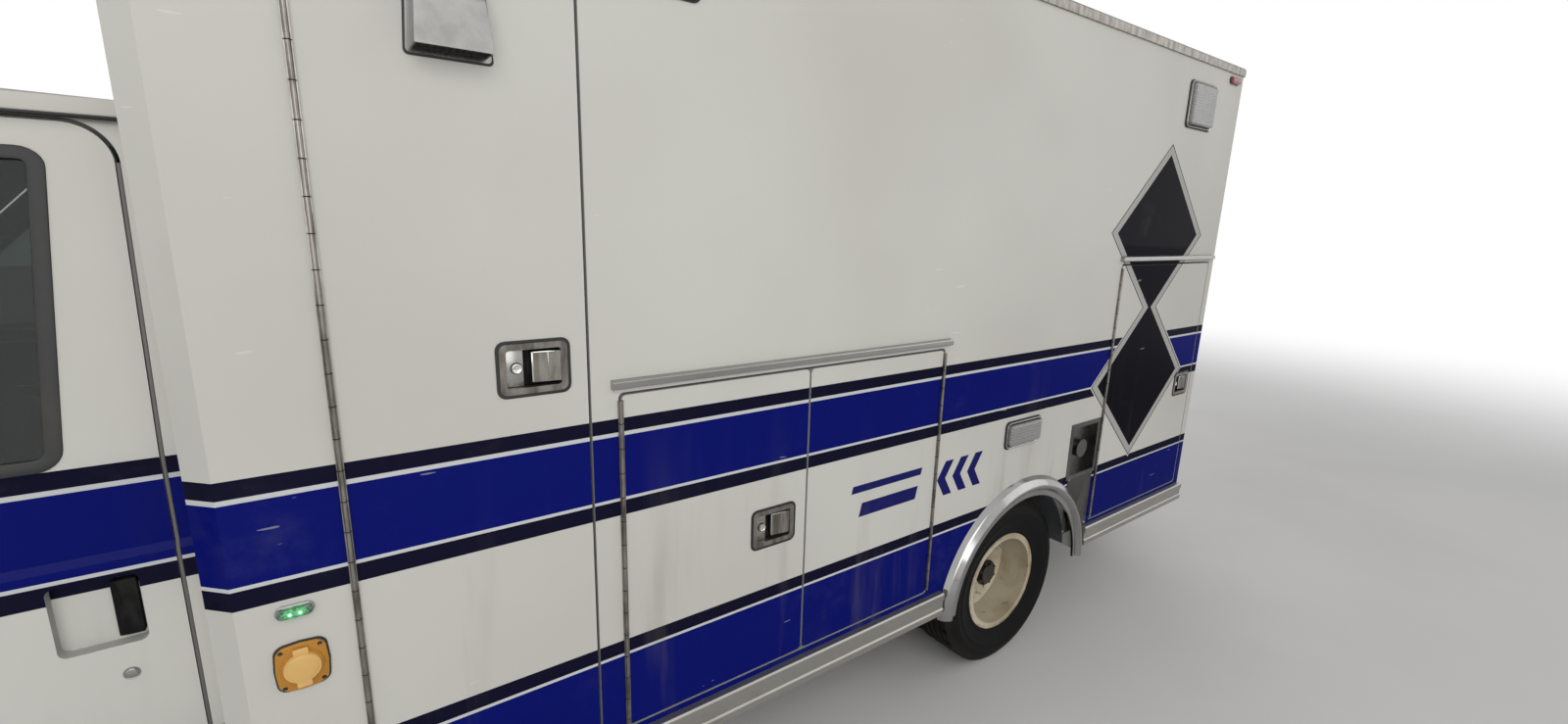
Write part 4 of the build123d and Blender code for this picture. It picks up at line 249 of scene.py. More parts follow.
    def bump(self, height: object, depth: float, under: object = None) -> bpy.types.NodeSocket:
        """Normal of a relief as deep as given, in metres."""
        made = self.node("Bump")
        made.inputs["Strength"].default_value = 1.0
        made.inputs["Distance"].default_value = depth
        self.feed(made.inputs["Height"], height)
        if under is not None:
            self.feed(made.inputs["Normal"], under)
        return made.outputs[0]

    def way(self) -> tuple[bpy.types.NodeSocket, ...]:
        """Parts of the surface's normal in object space."""
        split = self.node("SeparateXYZ")
        self.feed(split.inputs[0], self.node("TexCoord").outputs["Normal"])
        return tuple(split.outputs)

    def coat(self, **values: object) -> bpy.types.Material:
        """Feeds the shader's sockets and returns the material.

        Args:
            values: Socket names with underscores for spaces, with sockets, numbers or hex colours.

        Returns:
            The finished material.
        """
        for key, value in values.items():
            socket = self.shader.inputs[key.replace("_", " ")]
            if isinstance(value, str):
                value = linear(value) if len(socket.default_value) == 4 else linear(value)[:3]
            self.feed(socket, value)
        return self.material


class Finish:
    """A finish that makes its material once."""

    name: str
    made: dict[str, bpy.types.Material] = {}

    def build(self) -> bpy.types.Material:
        """Makes the material."""
        raise NotImplementedError

    def material(self) -> bpy.types.Material:
        """The material, made at first use."""
        if self.name not in Finish.made:
            Finish.made[self.name] = self.build()
        return Finish.made[self.name]


@dataclass(frozen=True)
class Stripe:
    """One level stripe of the livery."""

    low: float
    high: float
    colour: str


WHITE = "#cfcec7"
NAVY = "#131329"
ROYAL = "#0b1469"
PIN = "#c9cbcc"
STRIPES = (
    Stripe(1.387, 1.422, NAVY),
    Stripe(1.377, 1.387, PIN),
    Stripe(1.215, 1.377, ROYAL),
    Stripe(1.207, 1.215, PIN),
    Stripe(1.168, 1.207, NAVY),
    Stripe(0.776, 0.814, NAVY),
    Stripe(0.768, 0.776, PIN),
    Stripe(0.0, 0.768, ROYAL),
)


# How far within the emblem's outline each layer starts, and its colour
EMBLEM_LAYERS = ((-0.006, WHITE), (0.0, "#3c3d42"), (0.005, "#aeada8"), (0.036, "#101018"))
# X, leaning back, and Z of each plain bar
BARS = (((-0.815, -0.485), (1.036, 1.062)), ((-0.815, -0.545), (0.948, 0.996)))
BAR_LEAN = 0.25
CHEVRONS = (-0.960, -1.045, -1.130)
CHEVRON_WIDTH = 0.045
CHEVRON_Z = (0.925, 1.059)
CHEVRON_SLOPE = 0.62
MARK_COLOUR = "#1d2060"
# Half the distance between the charge lamp's two diodes
DIODE_ASIDE = 0.008


@dataclass(frozen=True)
class Livery(Finish):
    """White paint with the blue stripes, on the module or the cab, with metal where it stands proud."""

    name: str
    cab: bool = False
    latch: tuple[float, float] | None = None
    back: bool = False
    emblem_x: float = -2.352
    emblem_z: tuple[float, ...] = (1.890, 1.210)
    emblem_half: tuple[float, float] = (0.436, 0.400)
    latch_half: tuple[float, float] = (0.0735, 0.057)
    # Hinge knuckles in a metre
    knuckles: float = 15.6
    # X, distance from the middle and Z of the cab's door grips and, leaning inwards, of its window openings,
    # whose reveals take painted shade
    grip: tuple[tuple[float, float], ...] = ((1.1985, 1.2405), (0.9845, 1.0052), (1.068, 1.187))
    shaded_reveal: tuple[tuple[float, float], ...] = ((1.20, 1.99), (1.192, 1.2185), (1.425, 1.995))
    lean: float = 0.154
    # Depth of the latch's pocket, and where its dark floor begins and ends
    pocket: float = 0.032
    pocket_floor: tuple[float, float] = (0.0155, 0.026)

    def outside(self, g: Graph) -> bpy.types.NodeSocket:
        """Mask of the outer skin.

        Args:
            g: The material's nodes.

        Returns:
            One on the outer skin, zero within.
        """
        side = g.size(g.y)
        if self.cab:
            _, across, _ = g.way()
            return g.both(g.over(side, 0.88), g.over(g.size(across), 0.45))
        front = g.plus(g.x, side)
        rear = g.less(side, g.x)
        return g.either(
            g.over(side, MODULE_SIDE - FACE_MARGIN),
            g.over(g.x, MODULE_FRONT - FACE_MARGIN),
            g.under(g.x, MODULE_REAR + FACE_MARGIN),
            g.over(front, MODULE_FRONT + MODULE_SIDE - CHAMFER - FACE_MARGIN),
            g.over(rear, MODULE_SIDE - MODULE_REAR - CHAMFER - FACE_MARGIN),
        )

    def emblem(self, g: Graph, colour: object) -> bpy.types.NodeSocket:
        """Stack of navy diamonds with a silver border and a dark line, near the rear of each side.

        Args:
            g: The material's nodes.
            colour: The colour under it.

        Returns:
            The colour with the emblem.
        """
        half_w, half_h = self.emblem_half
        scale = half_w * half_h / math.hypot(half_w, half_h)
        across = g.calc("DIVIDE", g.off(g.x, self.emblem_x), half_w)
        depths = []
        for centre in self.emblem_z:
            up = g.calc("DIVIDE", g.off(g.z, centre), half_h)
            inside = g.less(1.0, g.plus(across, up))
            depths.append(g.both(inside, scale))
        depth = g.either(*depths)
        on_side = g.over(g.size(g.y), MODULE_SIDE - FACE_MARGIN)
        for limit, shade in EMBLEM_LAYERS:
            colour = g.mix(g.both(on_side, g.over(depth, limit)), colour, shade)
        return colour

    def bars(self, g: Graph, colour: object) -> bpy.types.NodeSocket:
        """Plain navy bars and chevrons between the stripes of the left and right sides.

        Args:
            g: The material's nodes.
            colour: The colour under them.

        Returns:
            The colour with them.
        """
        on_side = g.over(g.size(g.y), MODULE_SIDE - FACE_MARGIN)
        lean = g.scaled(g.less(g.z, 1.0), BAR_LEAN, g.x)
        marks = [g.both(g.band(lean, *across), g.band(g.z, *up)) for across, up in BARS]
        bend = g.plus(g.x, g.both(g.off(g.z, sum(CHEVRON_Z) / 2), CHEVRON_SLOPE))
        arrows = [g.band(bend, at, at + CHEVRON_WIDTH) for at in CHEVRONS]
        marks.append(g.both(g.either(*arrows), g.band(g.z, *CHEVRON_Z)))
        return g.mix(g.both(on_side, g.either(*marks)), colour, MARK_COLOUR)

    def proud(self, g: Graph) -> bpy.types.NodeSocket:
        """Mask of bare metal, which is the hinges and the latch.

        Args:
            g: The material's nodes.

        Returns:
            One on metal, zero on paint.
        """
        if self.cab:
            return g.both(g.over(g.size(g.y), CAB_SIDE + FACE_MARGIN), g.under(g.z, 1.3))
        metal = g.either(
            g.over(g.size(g.y), MODULE_SIDE + FACE_MARGIN),
            g.over(g.x, MODULE_FRONT + FACE_MARGIN),
            g.under(g.x, MODULE_REAR - FACE_MARGIN),
        )
        return g.either(metal, self.latch_zone(g)) if self.latch else metal

    def dark_parts(self, g: Graph) -> bpy.types.NodeSocket:
        """Mask of black plastic on the cab and of painted shade in its window reveals, or of the depth of the
        latch's pocket.

        Args:
            g: The material's nodes.

        Returns:
            One where it is dark.
        """
        side = g.size(g.y)
        if self.cab:
            grip = g.both(*(g.band(part, *ends) for part, ends in zip((g.x, side, g.z), self.grip)))
            _, across, _ = g.way()
            lean = g.scaled(g.z, self.lean, side)
            # The window reveals are darkened as painted shade in the recess round the glass
            shaded_reveal = g.both(*(g.band(part, *ends) for part, ends in zip((g.x, lean, g.z), self.shaded_reveal)))
            shaded_reveal = g.both(shaded_reveal, g.under(g.size(across), 0.3))
            return g.either(g.over(side, CAB_SIDE + 0.0035), grip, shaded_reveal)
        if not self.latch:
            return g.both(0.0, 1.0)
        return g.both(self.latch_zone(g), g.band(self.depth(g), *self.pocket_floor))

    def depth(self, g: Graph) -> bpy.types.NodeSocket:
        """Depth under the face of the wall that the latch is in."""
        return g.less(g.x, MODULE_REAR) if self.back else g.less(MODULE_SIDE, g.size(g.y))

    def joints(self, g: Graph, metal: object) -> bpy.types.NodeSocket:
        """Mask of the thin lines between the knuckles of the hinges.

        Args:
            g: The material's nodes.
            metal: Mask of the metal.

        Returns:
            One on the lines.
        """
        line = g.over(g.calc("FRACT", g.both(g.z, self.knuckles)), 0.965)
        line = g.both(line, metal)
        return g.both(line, g.flip(self.latch_zone(g))) if self.latch else line

    def latch_zone(self, g: Graph) -> bpy.types.NodeSocket:
        """Mask of the latch, down to the floor of its pocket."""
        rows = zip((g.y if self.back else g.x, g.z), self.latch, self.latch_half)
        sides = [g.under(g.off(part, middle), half) for part, middle, half in rows]
        return g.both(*sides, g.under(self.depth(g), self.pocket))

    def build(self) -> bpy.types.Material:
        """Makes the material."""
        g = Graph(self.name)
        tone = g.noise(0.9, 2.0)
        streak = g.noise(7.0, 4.0, (1.0, 1.0, 0.12))
        paint = g.mix(g.ramp(tone, 0.35, 0.7), WHITE, "#c6c4bd")
        for stripe in STRIPES:
            paint = g.mix(g.band(g.z, stripe.low, stripe.high), paint, stripe.colour)
        if not self.cab:
            paint = self.emblem(g, self.bars(g, paint))
        outside = self.outside(g)
        inner = g.mix(g.ramp(tone, 0.3, 0.7), "#b9b9b4", "#aeaeaa")
        colour = g.mix(outside, inner, paint)
        grime = g.both(g.ramp(streak, 0.52, 0.75), g.flip(g.ramp(g.z, 0.45, 1.5)))
        colour = g.mix(g.both(grime, 0.4), colour, "#6b6459")
        haze = g.both(g.ramp(g.noise(3.0, 6.0, rough=0.7), 0.55, 0.8), 0.05)
        colour = g.mix(haze, colour, "#a8a59c")
        scuff = g.noise(55.0, 2.0, (0.12, 0.12, 1.0))
        line = g.both(g.over(scuff, 0.715), g.over(g.noise(2.3, 1.0), 0.56))
        colour = g.mix(g.both(line, 0.22), colour, "#efeeea")
        metal = self.proud(g)
        tarnish = g.noise(40.0, 4.0, (1.0, 1.0, 0.3))
        colour = g.mix(metal, colour, g.mix(g.ramp(tarnish, 0.35, 0.75), "#908c86", "#5b554e"))
        colour = g.mix(self.joints(g, metal), colour, "#1c1916")
        # Dark colour for black plastic and the latch pocket's floor, and painted shade in the cab's window
        # reveals
        dark = self.dark_parts(g)
        colour = g.mix(dark, colour, g.mix(g.ramp(tarnish, 0.4, 0.7), "#19191a", "#2b2a29"))
        metal = g.both(metal, g.flip(dark))
        fine = g.noise(420.0, 2.0)
        coarse = g.noise(4.0, 2.0)
        relief = g.bump(coarse, 0.0012, g.bump(fine, 0.00004))
        rough = g.scaled(g.noise(9.0, 4.0), 0.16, 0.16)
        rough = g.blend(metal, g.plus(rough, g.both(grime, 0.2)), 0.3)
        return g.coat(
            Base_Color=colour, Roughness=rough, Metallic=g.both(metal, 0.9),
            Normal=relief, Specular_IOR_Level=0.0, Coat_Weight=0.09, Coat_Roughness=0.06,
        )


@dataclass(frozen=True)
class Metal(Finish):
    """Bare or plated metal with its grain, tarnish and spots."""

    name: str
    colour: str = "#c4c4c2"
    dark: str = "#85837e"
    roughness: float = 0.22
    grain: tuple[float, float, float] = (1.0, 1.0, 1.0)
    grain_scale: float = 60.0
    tarnish: float = 0.35
    spots: str = ""
    spot_limit: float = 0.68
    metallic: float = 1.0

    def build(self) -> bpy.types.Material:
        """Makes the material."""
        g = Graph(self.name)
        grain = g.noise(self.grain_scale, 4.0, self.grain)
        cloud = g.noise(6.0, 5.0, rough=0.65)
        colour = g.mix(g.both(g.ramp(cloud, 0.4, 0.75), self.tarnish), self.colour, self.dark)
        rough = g.scaled(grain, 0.18, self.roughness - 0.09)
        metallic: object = self.metallic
        if self.spots:
            spot = g.ramp(g.noise(24.0, 7.0, rough=0.72), self.spot_limit, self.spot_limit + 0.06)
            colour = g.mix(spot, colour, self.spots)
            rough = g.blend(spot, rough, 0.85)
            metallic = g.both(g.flip(spot), self.metallic)
        relief = g.bump(grain, 0.00012, g.bump(g.noise(5.0, 1.0), 0.0006))
        return g.coat(Base_Color=colour, Roughness=rough, Metallic=metallic, Normal=relief)


@dataclass(frozen=True)
class Moulded(Finish):
    """Plastic, rubber, vinyl or coated sheet with a grain and dust."""

    name: str
    colour: str = "#2a2a2b"
    dust: str = "#5b5751"
    dust_share: float = 0.3
    roughness: float = 0.5
    grain_scale: float = 700.0
    grain_depth: float = 0.0002
    cells: bool = False
    sheen: float = 0.0

    def build(self) -> bpy.types.Material:
        """Makes the material."""
        g = Graph(self.name)
        cloud = g.noise(5.0, 6.0, rough=0.65)
        colour = g.mix(g.both(g.ramp(cloud, 0.42, 0.8), self.dust_share), self.colour, self.dust)
        grain = g.cells(self.grain_scale) if self.cells else g.noise(self.grain_scale, 2.0)
        relief = g.bump(grain, self.grain_depth, g.bump(g.noise(8.0, 2.0), 0.0008))
        rough = g.scaled(cloud, 0.2, self.roughness - 0.1)
        return g.coat(Base_Color=colour, Roughness=rough, Normal=relief, Sheen_Weight=self.sheen)


@dataclass(frozen=True)
class Chassis(Finish):
    """Black underbody paint with road dust and rust."""

    name: str
    colour: str = "#1d1d1e"
    rust: str = "#5d3522"
    rust_share: float = 0.6

    def build(self) -> bpy.types.Material:
        """Makes the material."""
        g = Graph(self.name)
        patches = g.noise(11.0, 8.0, rough=0.7)
        rust = g.both(g.ramp(patches, 0.55, 0.66), self.rust_share)
        dust = g.both(g.ramp(g.noise(3.0, 5.0), 0.4, 0.75), 0.5)
        colour = g.mix(rust, g.mix(dust, self.colour, "#4a453e"), self.rust)
        rough = g.blend(rust, 0.5, 0.9)
        relief = g.bump(patches, 0.0012, g.bump(g.noise(160.0, 3.0), 0.0003))
        return g.coat(Base_Color=colour, Roughness=rough, Normal=relief, Metallic=0.0)


@dataclass(frozen=True)
class WheelPaint(Finish):
    """Cream wheel paint with rust where the rim meets the disc, and a dark hub."""

    name: str
    axle_x: float
    hub_radius: float

    def build(self) -> bpy.types.Material:
        """Makes the material."""
        g = Graph(self.name)
        radius = g.far(g.less(g.x, self.axle_x), g.less(g.z, AXLE_Z))
        patches = g.noise(16.0, 8.0, rough=0.7)
        cloud = g.noise(5.0, 4.0)
        ring = g.both(g.ramp(radius, 0.118, 0.150), g.flip(g.ramp(radius, 0.172, 0.2)))
        worn = g.ramp(g.plus(patches, g.both(ring, 0.10)), 0.585, 0.72)
        edge = g.both(g.ramp(radius, 0.206, 0.216), g.ramp(patches, 0.42, 0.6))
        rust = g.either(worn, g.both(edge, 0.7))
        base = g.mix(g.ramp(cloud, 0.35, 0.7), "#c9bfa6", "#a5977b")
        colour = g.mix(g.both(rust, 0.85), base, "#5a3a22")
        hub = g.flip(g.ramp(radius, self.hub_radius, self.hub_radius + 0.004))
        dark = g.mix(g.ramp(patches, 0.4, 0.7), "#17161a", "#3a2c24")
        colour = g.mix(hub, colour, dark)
        rough = g.blend(rust, 0.42, 0.88)
        relief = g.bump(patches, 0.0009, g.bump(g.noise(200.0, 2.0), 0.00015))
        return g.coat(Base_Color=colour, Roughness=rough, Normal=relief)


@dataclass(frozen=True)
class Pane(Finish):
    """Window glass with a tint and a film of dust."""

    name: str
    tint: str = "#57605c"
    dust_share: float = 0.12

    def build(self) -> bpy.types.Material:
        """Makes the material."""
        g = Graph(self.name)
        film = g.noise(2.5, 3.0)
        colour = g.mix(g.both(g.ramp(film, 0.45, 0.8), self.dust_share), self.tint, "#8a8880")
        rough = g.both(g.ramp(film, 0.5, 0.85), 0.012)
        relief = g.bump(g.noise(2.0, 1.0), 0.0004)
        return g.coat(
            Base_Color=colour, Roughness=rough, Normal=relief, Transmission_Weight=0.94, IOR=1.25
        )


@dataclass(frozen=True)
class Lens(Finish):
    """Moulded lamp lens with flutes, and white speckles painted in as the glints of a reflector seen through
    it.
    """

    name: str
    colour: str
    flutes: float = 90.0
    clear: float = 0.45
    # X and Z between its two lit diodes
    glow: tuple[float, float] | None = None

    def light(self, g: Graph, away: bpy.types.NodeSocket) -> None:
        """Feeds the glow of two lit diodes to the shader.

        Args:
            g: The material's nodes.
            away: Distance from the nearer diode.
        """
        spot = g.flip(g.ramp(away, 0.001, 0.0045))
        halo = g.flip(g.ramp(away, 0.002, 0.016))
        g.feed(g.shader.inputs["Emission Color"], g.mix(spot, "#12c25a", "#b8ffd6"))
        g.feed(g.shader.inputs["Emission Strength"], g.plus(g.both(spot, 2.2), g.both(halo, 0.7)))

    def build(self) -> bpy.types.Material:
        """Makes the material."""
        g = Graph(self.name)
        wave = g.sine(g.z, self.flutes * 2 * math.pi)
        # White speckles: painted glints of the reflector behind the lens
        reflector_glints = g.cells(150.0)
        colour = g.mix(g.ramp(reflector_glints, 0.2, 0.75), self.colour, "#ffffff")
        colour = g.mix(0.75, colour, self.colour)
        relief = g.bump(wave, 0.0006, g.bump(g.noise(300.0, 2.0), 0.00005))
        rough = g.scaled(g.noise(12.0, 5.0), 0.1, 0.06)
        if self.glow:
            aside = g.less(g.off(g.x, self.glow[0]), DIODE_ASIDE)
            self.light(g, g.far(aside, g.less(g.z, self.glow[1])))
        return g.coat(
            Base_Color=colour, Roughness=rough, Normal=relief, Transmission_Weight=self.clear, IOR=1.45
        )


@dataclass(frozen=True)
class Tread(Finish):
    """Tyre rubber, greyer and dustier on the tread than at the bead."""

    name: str
    axle_x: float

    def build(self) -> bpy.types.Material:
        """Makes the material."""
        g = Graph(self.name)
        radius = g.far(g.less(g.x, self.axle_x), g.less(g.z, AXLE_Z))
        cloud = g.noise(9.0, 7.0, rough=0.7)
        worn = g.both(g.ramp(radius, 0.30, 0.371), g.ramp(cloud, 0.3, 0.7))
        colour = g.mix(g.scaled(worn, 0.5, 0.08), "#0b0b0c", "#312e2b")
        relief = g.bump(g.noise(260.0, 4.0), 0.0003, g.bump(cloud, 0.0006))
        rough = g.scaled(cloud, 0.25, 0.55)
        return g.coat(Base_Color=colour, Roughness=rough, Normal=relief, Specular_IOR_Level=0.12)


@dataclass(frozen=True)
class CheckerPlate(Finish):
    """Aluminium tread plate with raised bars on what faces up."""

    name: str
    # Radians a metre of the bars and of the patches that they stand in
    bar_rate: float = 210.0
    patch_rate: float = 60.0

    def build(self) -> bpy.types.Material:
        """Makes the material."""
        g = Graph(self.name)
        _, _, up = g.way()
        ways = g.plus(g.x, g.y), g.less(g.x, g.y)
        patch = g.sine(ways[1], self.patch_rate)
        bars = []
        for way, sign in zip(ways, (1.0, -1.0)):
            bar = g.ramp(g.size(g.sine(way, self.bar_rate)), 0.75, 0.95)
            bars.append(g.both(bar, g.ramp(g.both(patch, sign), 0.0, 0.4)))
        height = g.both(g.either(*bars), g.over(g.size(up), 0.6))
        cloud = g.noise(8.0, 6.0, rough=0.7)
        colour = g.mix(g.ramp(cloud, 0.4, 0.75), "#a3a3a1", "#85837e")
        rough = g.scaled(cloud, 0.3, 0.2)
        relief = g.bump(height, 0.0016, g.bump(g.noise(200.0, 3.0), 0.0001))
        return g.coat(Base_Color=colour, Roughness=rough, Metallic=0.95, Normal=relief)


@dataclass(frozen=True)
class ByLevel(Finish):
    """Two finishes of one piece, parted at a height: the upper and the lower colour and gloss."""

    name: str
    level: float
    upper: tuple[str, float, float]
    lower: tuple[str, float, float]
    wear: str = "#6f6a62"
    chips: str = ""

    def build(self) -> bpy.types.Material:
        """Makes the material."""
        g = Graph(self.name)
        above = g.over(g.z, self.level)
        cloud = g.noise(14.0, 6.0, (0.4, 1.0, 1.0), 0.7)
        grain = g.noise(90.0, 3.0, (0.1, 1.0, 1.0))
        colour = g.mix(above, self.lower[0], self.upper[0])
        colour = g.mix(g.both(g.ramp(cloud, 0.48, 0.8), 0.5), colour, self.wear)
        rough = g.plus(g.blend(above, self.lower[1], self.upper[1]), g.both(grain, 0.12))
        metallic: object = g.blend(above, self.lower[2], self.upper[2])
        if self.chips:
            chip = g.ramp(g.noise(19.0, 5.0, rough=0.75), 0.71, 0.75)
            colour = g.mix(chip, colour, self.chips)
            metallic = g.both(metallic, g.flip(chip))
        relief = g.bump(grain, 0.00015, g.bump(cloud, 0.0006))
        return g.coat(Base_Color=colour, Roughness=rough, Metallic=metallic, Normal=relief)


@dataclass(frozen=True)
class StudioFloor(Finish):
    """Pale floor that keeps the shadow and fades to the white of the backdrop."""

    name: str = "studio_floor"

    def build(self) -> bpy.types.Material:
        """Makes the material."""
        g = Graph(self.name)
        cloud = g.noise(0.7, 3.0)
        colour = g.mix(g.ramp(cloud, 0.3, 0.7), "#dedddb", "#d8d7d5")
        g.coat(Base_Color=colour, Roughness=0.75, Specular_IOR_Level=0.1)
        reach = g.far(g.x, g.y)
        glow = g.node("Emission")
        glow.inputs["Color"].default_value = (1.0, 1.0, 1.0, 1.0)
        blend = g.node("MixShader")
        path = g.node("LightPath")
        seen = g.either(*(path.outputs[f"Is {ray} Ray"] for ray in SEEN_RAYS))
        g.feed(blend.inputs[0], g.both(g.ramp(reach, 5.0, 15.0), seen))
        g.feed(blend.inputs[1], g.shader.outputs[0])
        g.feed(blend.inputs[2], glow.outputs[0])
        g.feed(g.tree.nodes["Material Output"].inputs["Surface"], blend.outputs[0])
        return g.material


CHROME = Metal("chrome", "#a3a3a2", "#6f6b65", 0.13, (1, 1, 0.4), 30.0, 0.3, "#5d564c", 0.7)
# Darker copy of the chrome for the vent hood: a painted dark reflection of its surroundings
SHADED_HOOD_CHROME = Metal("shaded_hood_chrome", "#72716f", "#454341", 0.2, (1, 1, 0.4), 30.0, 0.5)
STAINLESS = Metal("stainless", "#a3a29e", "#6b6862", 0.26, (0.15, 1.0, 1.0), 160.0, 0.4)
DARK_STEEL = Metal("dark_steel", "#54514e", "#2b2928", 0.35, (1, 1, 1), 80.0, 0.6, "#3b3028", 0.64)
ZINC = Metal("zinc_screws", "#a9a7a1", "#6b675f", 0.35, (1, 1, 1), 90.0, 0.5, "#6a4429", 0.62)
GASKET = Moulded("gasket_rubber", "#161616", "#4a4742", 0.35, 0.62, 300.0, 0.0003)
DOOR_SEAL = Moulded("door_seal", "#5e5b57", "#7b776f", 0.4, 0.5, 300.0, 0.0002)
SEAL = Moulded("window_seal", "#161616", "#4a4741", 0.35, 0.55, 380.0, 0.0003)
BLACK_PLASTIC = Moulded("black_plastic", "#1b1b1c", "#4e4b46", 0.3, 0.42, 900.0, 0.00015, True)
YELLOW = Moulded("yellow_plastic", "#b97f22", "#7d5c28", 0.5, 0.4, 500.0, 0.0002)
PALE_YELLOW = Moulded("yellow_lid", "#e2b66e", "#a9854c", 0.45, 0.38, 500.0, 0.0002)
CAB_TRIM = Moulded("cab_trim", "#4a4947", "#6d6a64", 0.3, 0.6, 620.0, 0.0005, True)
VINYL = Moulded("pad_vinyl", "#23325c", "#55607c", 0.25, 0.4, 800.0, 0.0003, True, 0.1)
SEAT_CLOTH = Moulded("seat_cloth", "#4b4c50", "#6c6b69", 0.35, 0.85, 1100.0, 0.0005, False, 0.4)
LAMINATE = Moulded("cabinet_laminate", "#c8c4b8", "#aaa699", 0.35, 0.34, 260.0, 0.0001)
LINING = Metal("lining_sheet", "#b0b0ae", "#84827d", 0.38, (0.2, 1.0, 1.0), 120.0, 0.4)
FLOORING = Moulded("floor_rubber", "#4c4f52", "#6e6c67", 0.5, 0.55, 240.0, 0.0008, True)
TANK = Moulded("tank_plastic", "#151516", "#4b463f", 0.6, 0.6, 240.0, 0.0005)
FRAME_PAINT = Chassis("chassis_paint")
AXLE_PAINT = Chassis("axle_paint", "#232324", "#66402a", 0.8)
CAST = Chassis("cast_iron", "#4a4846", "#5c3a28", 0.6)
EXHAUST = Metal("exhaust_steel", "#7b6f62", "#4a3a2e", 0.5, (1, 1, 1), 50.0, 0.8, "#5a3420", 0.55, 0.8)
BRIGHT = Metal("bright_metal", "#dddcd7", "#a5a198", 0.2, (1, 1, 1), 90.0, 0.3)
POCKET = Metal("pocket_steel", "#6c6b69", "#3a3938", 0.3, (0.3, 1.0, 1.0), 70.0, 0.6)
MIRROR = Metal("mirror_glass", "#dfe3e6", "#c3c9cc", 0.11, (1, 1, 1), 12.0, 0.2)
GLASS = Pane("window_glass")
DARK_GLASS = Pane("dark_glass", "#232a2b", 0.08)
SCREEN = Pane("screen_glass", "#93a09a", 0.06)
CLEAR_LENS = Lens("clear_lens", "#b9b9b4", 90.0, 0.55)
RED_LENS = Lens("red_lens", "#a3100f", 110.0, 0.3)
AMBER_LENS = Lens("amber_lens", "#d3760c", 110.0, 0.3)
GREEN_LENS = Lens("green_lens", "#0c5f38", 160.0, 0.3, glow=(0.953, 1.143))
FRONT_RUBBER = Tread("front_tyre_rubber", FRONT_AXLE_X)
REAR_RUBBER = Tread("rear_tyre_rubber", REAR_AXLE_X)
RAILS = ByLevel("rail_metal", 0.6, ("#a5a4a0", 0.12, 1.0), ("#a3a19b", 0.32, 0.85), "#827d73", "#57432f")


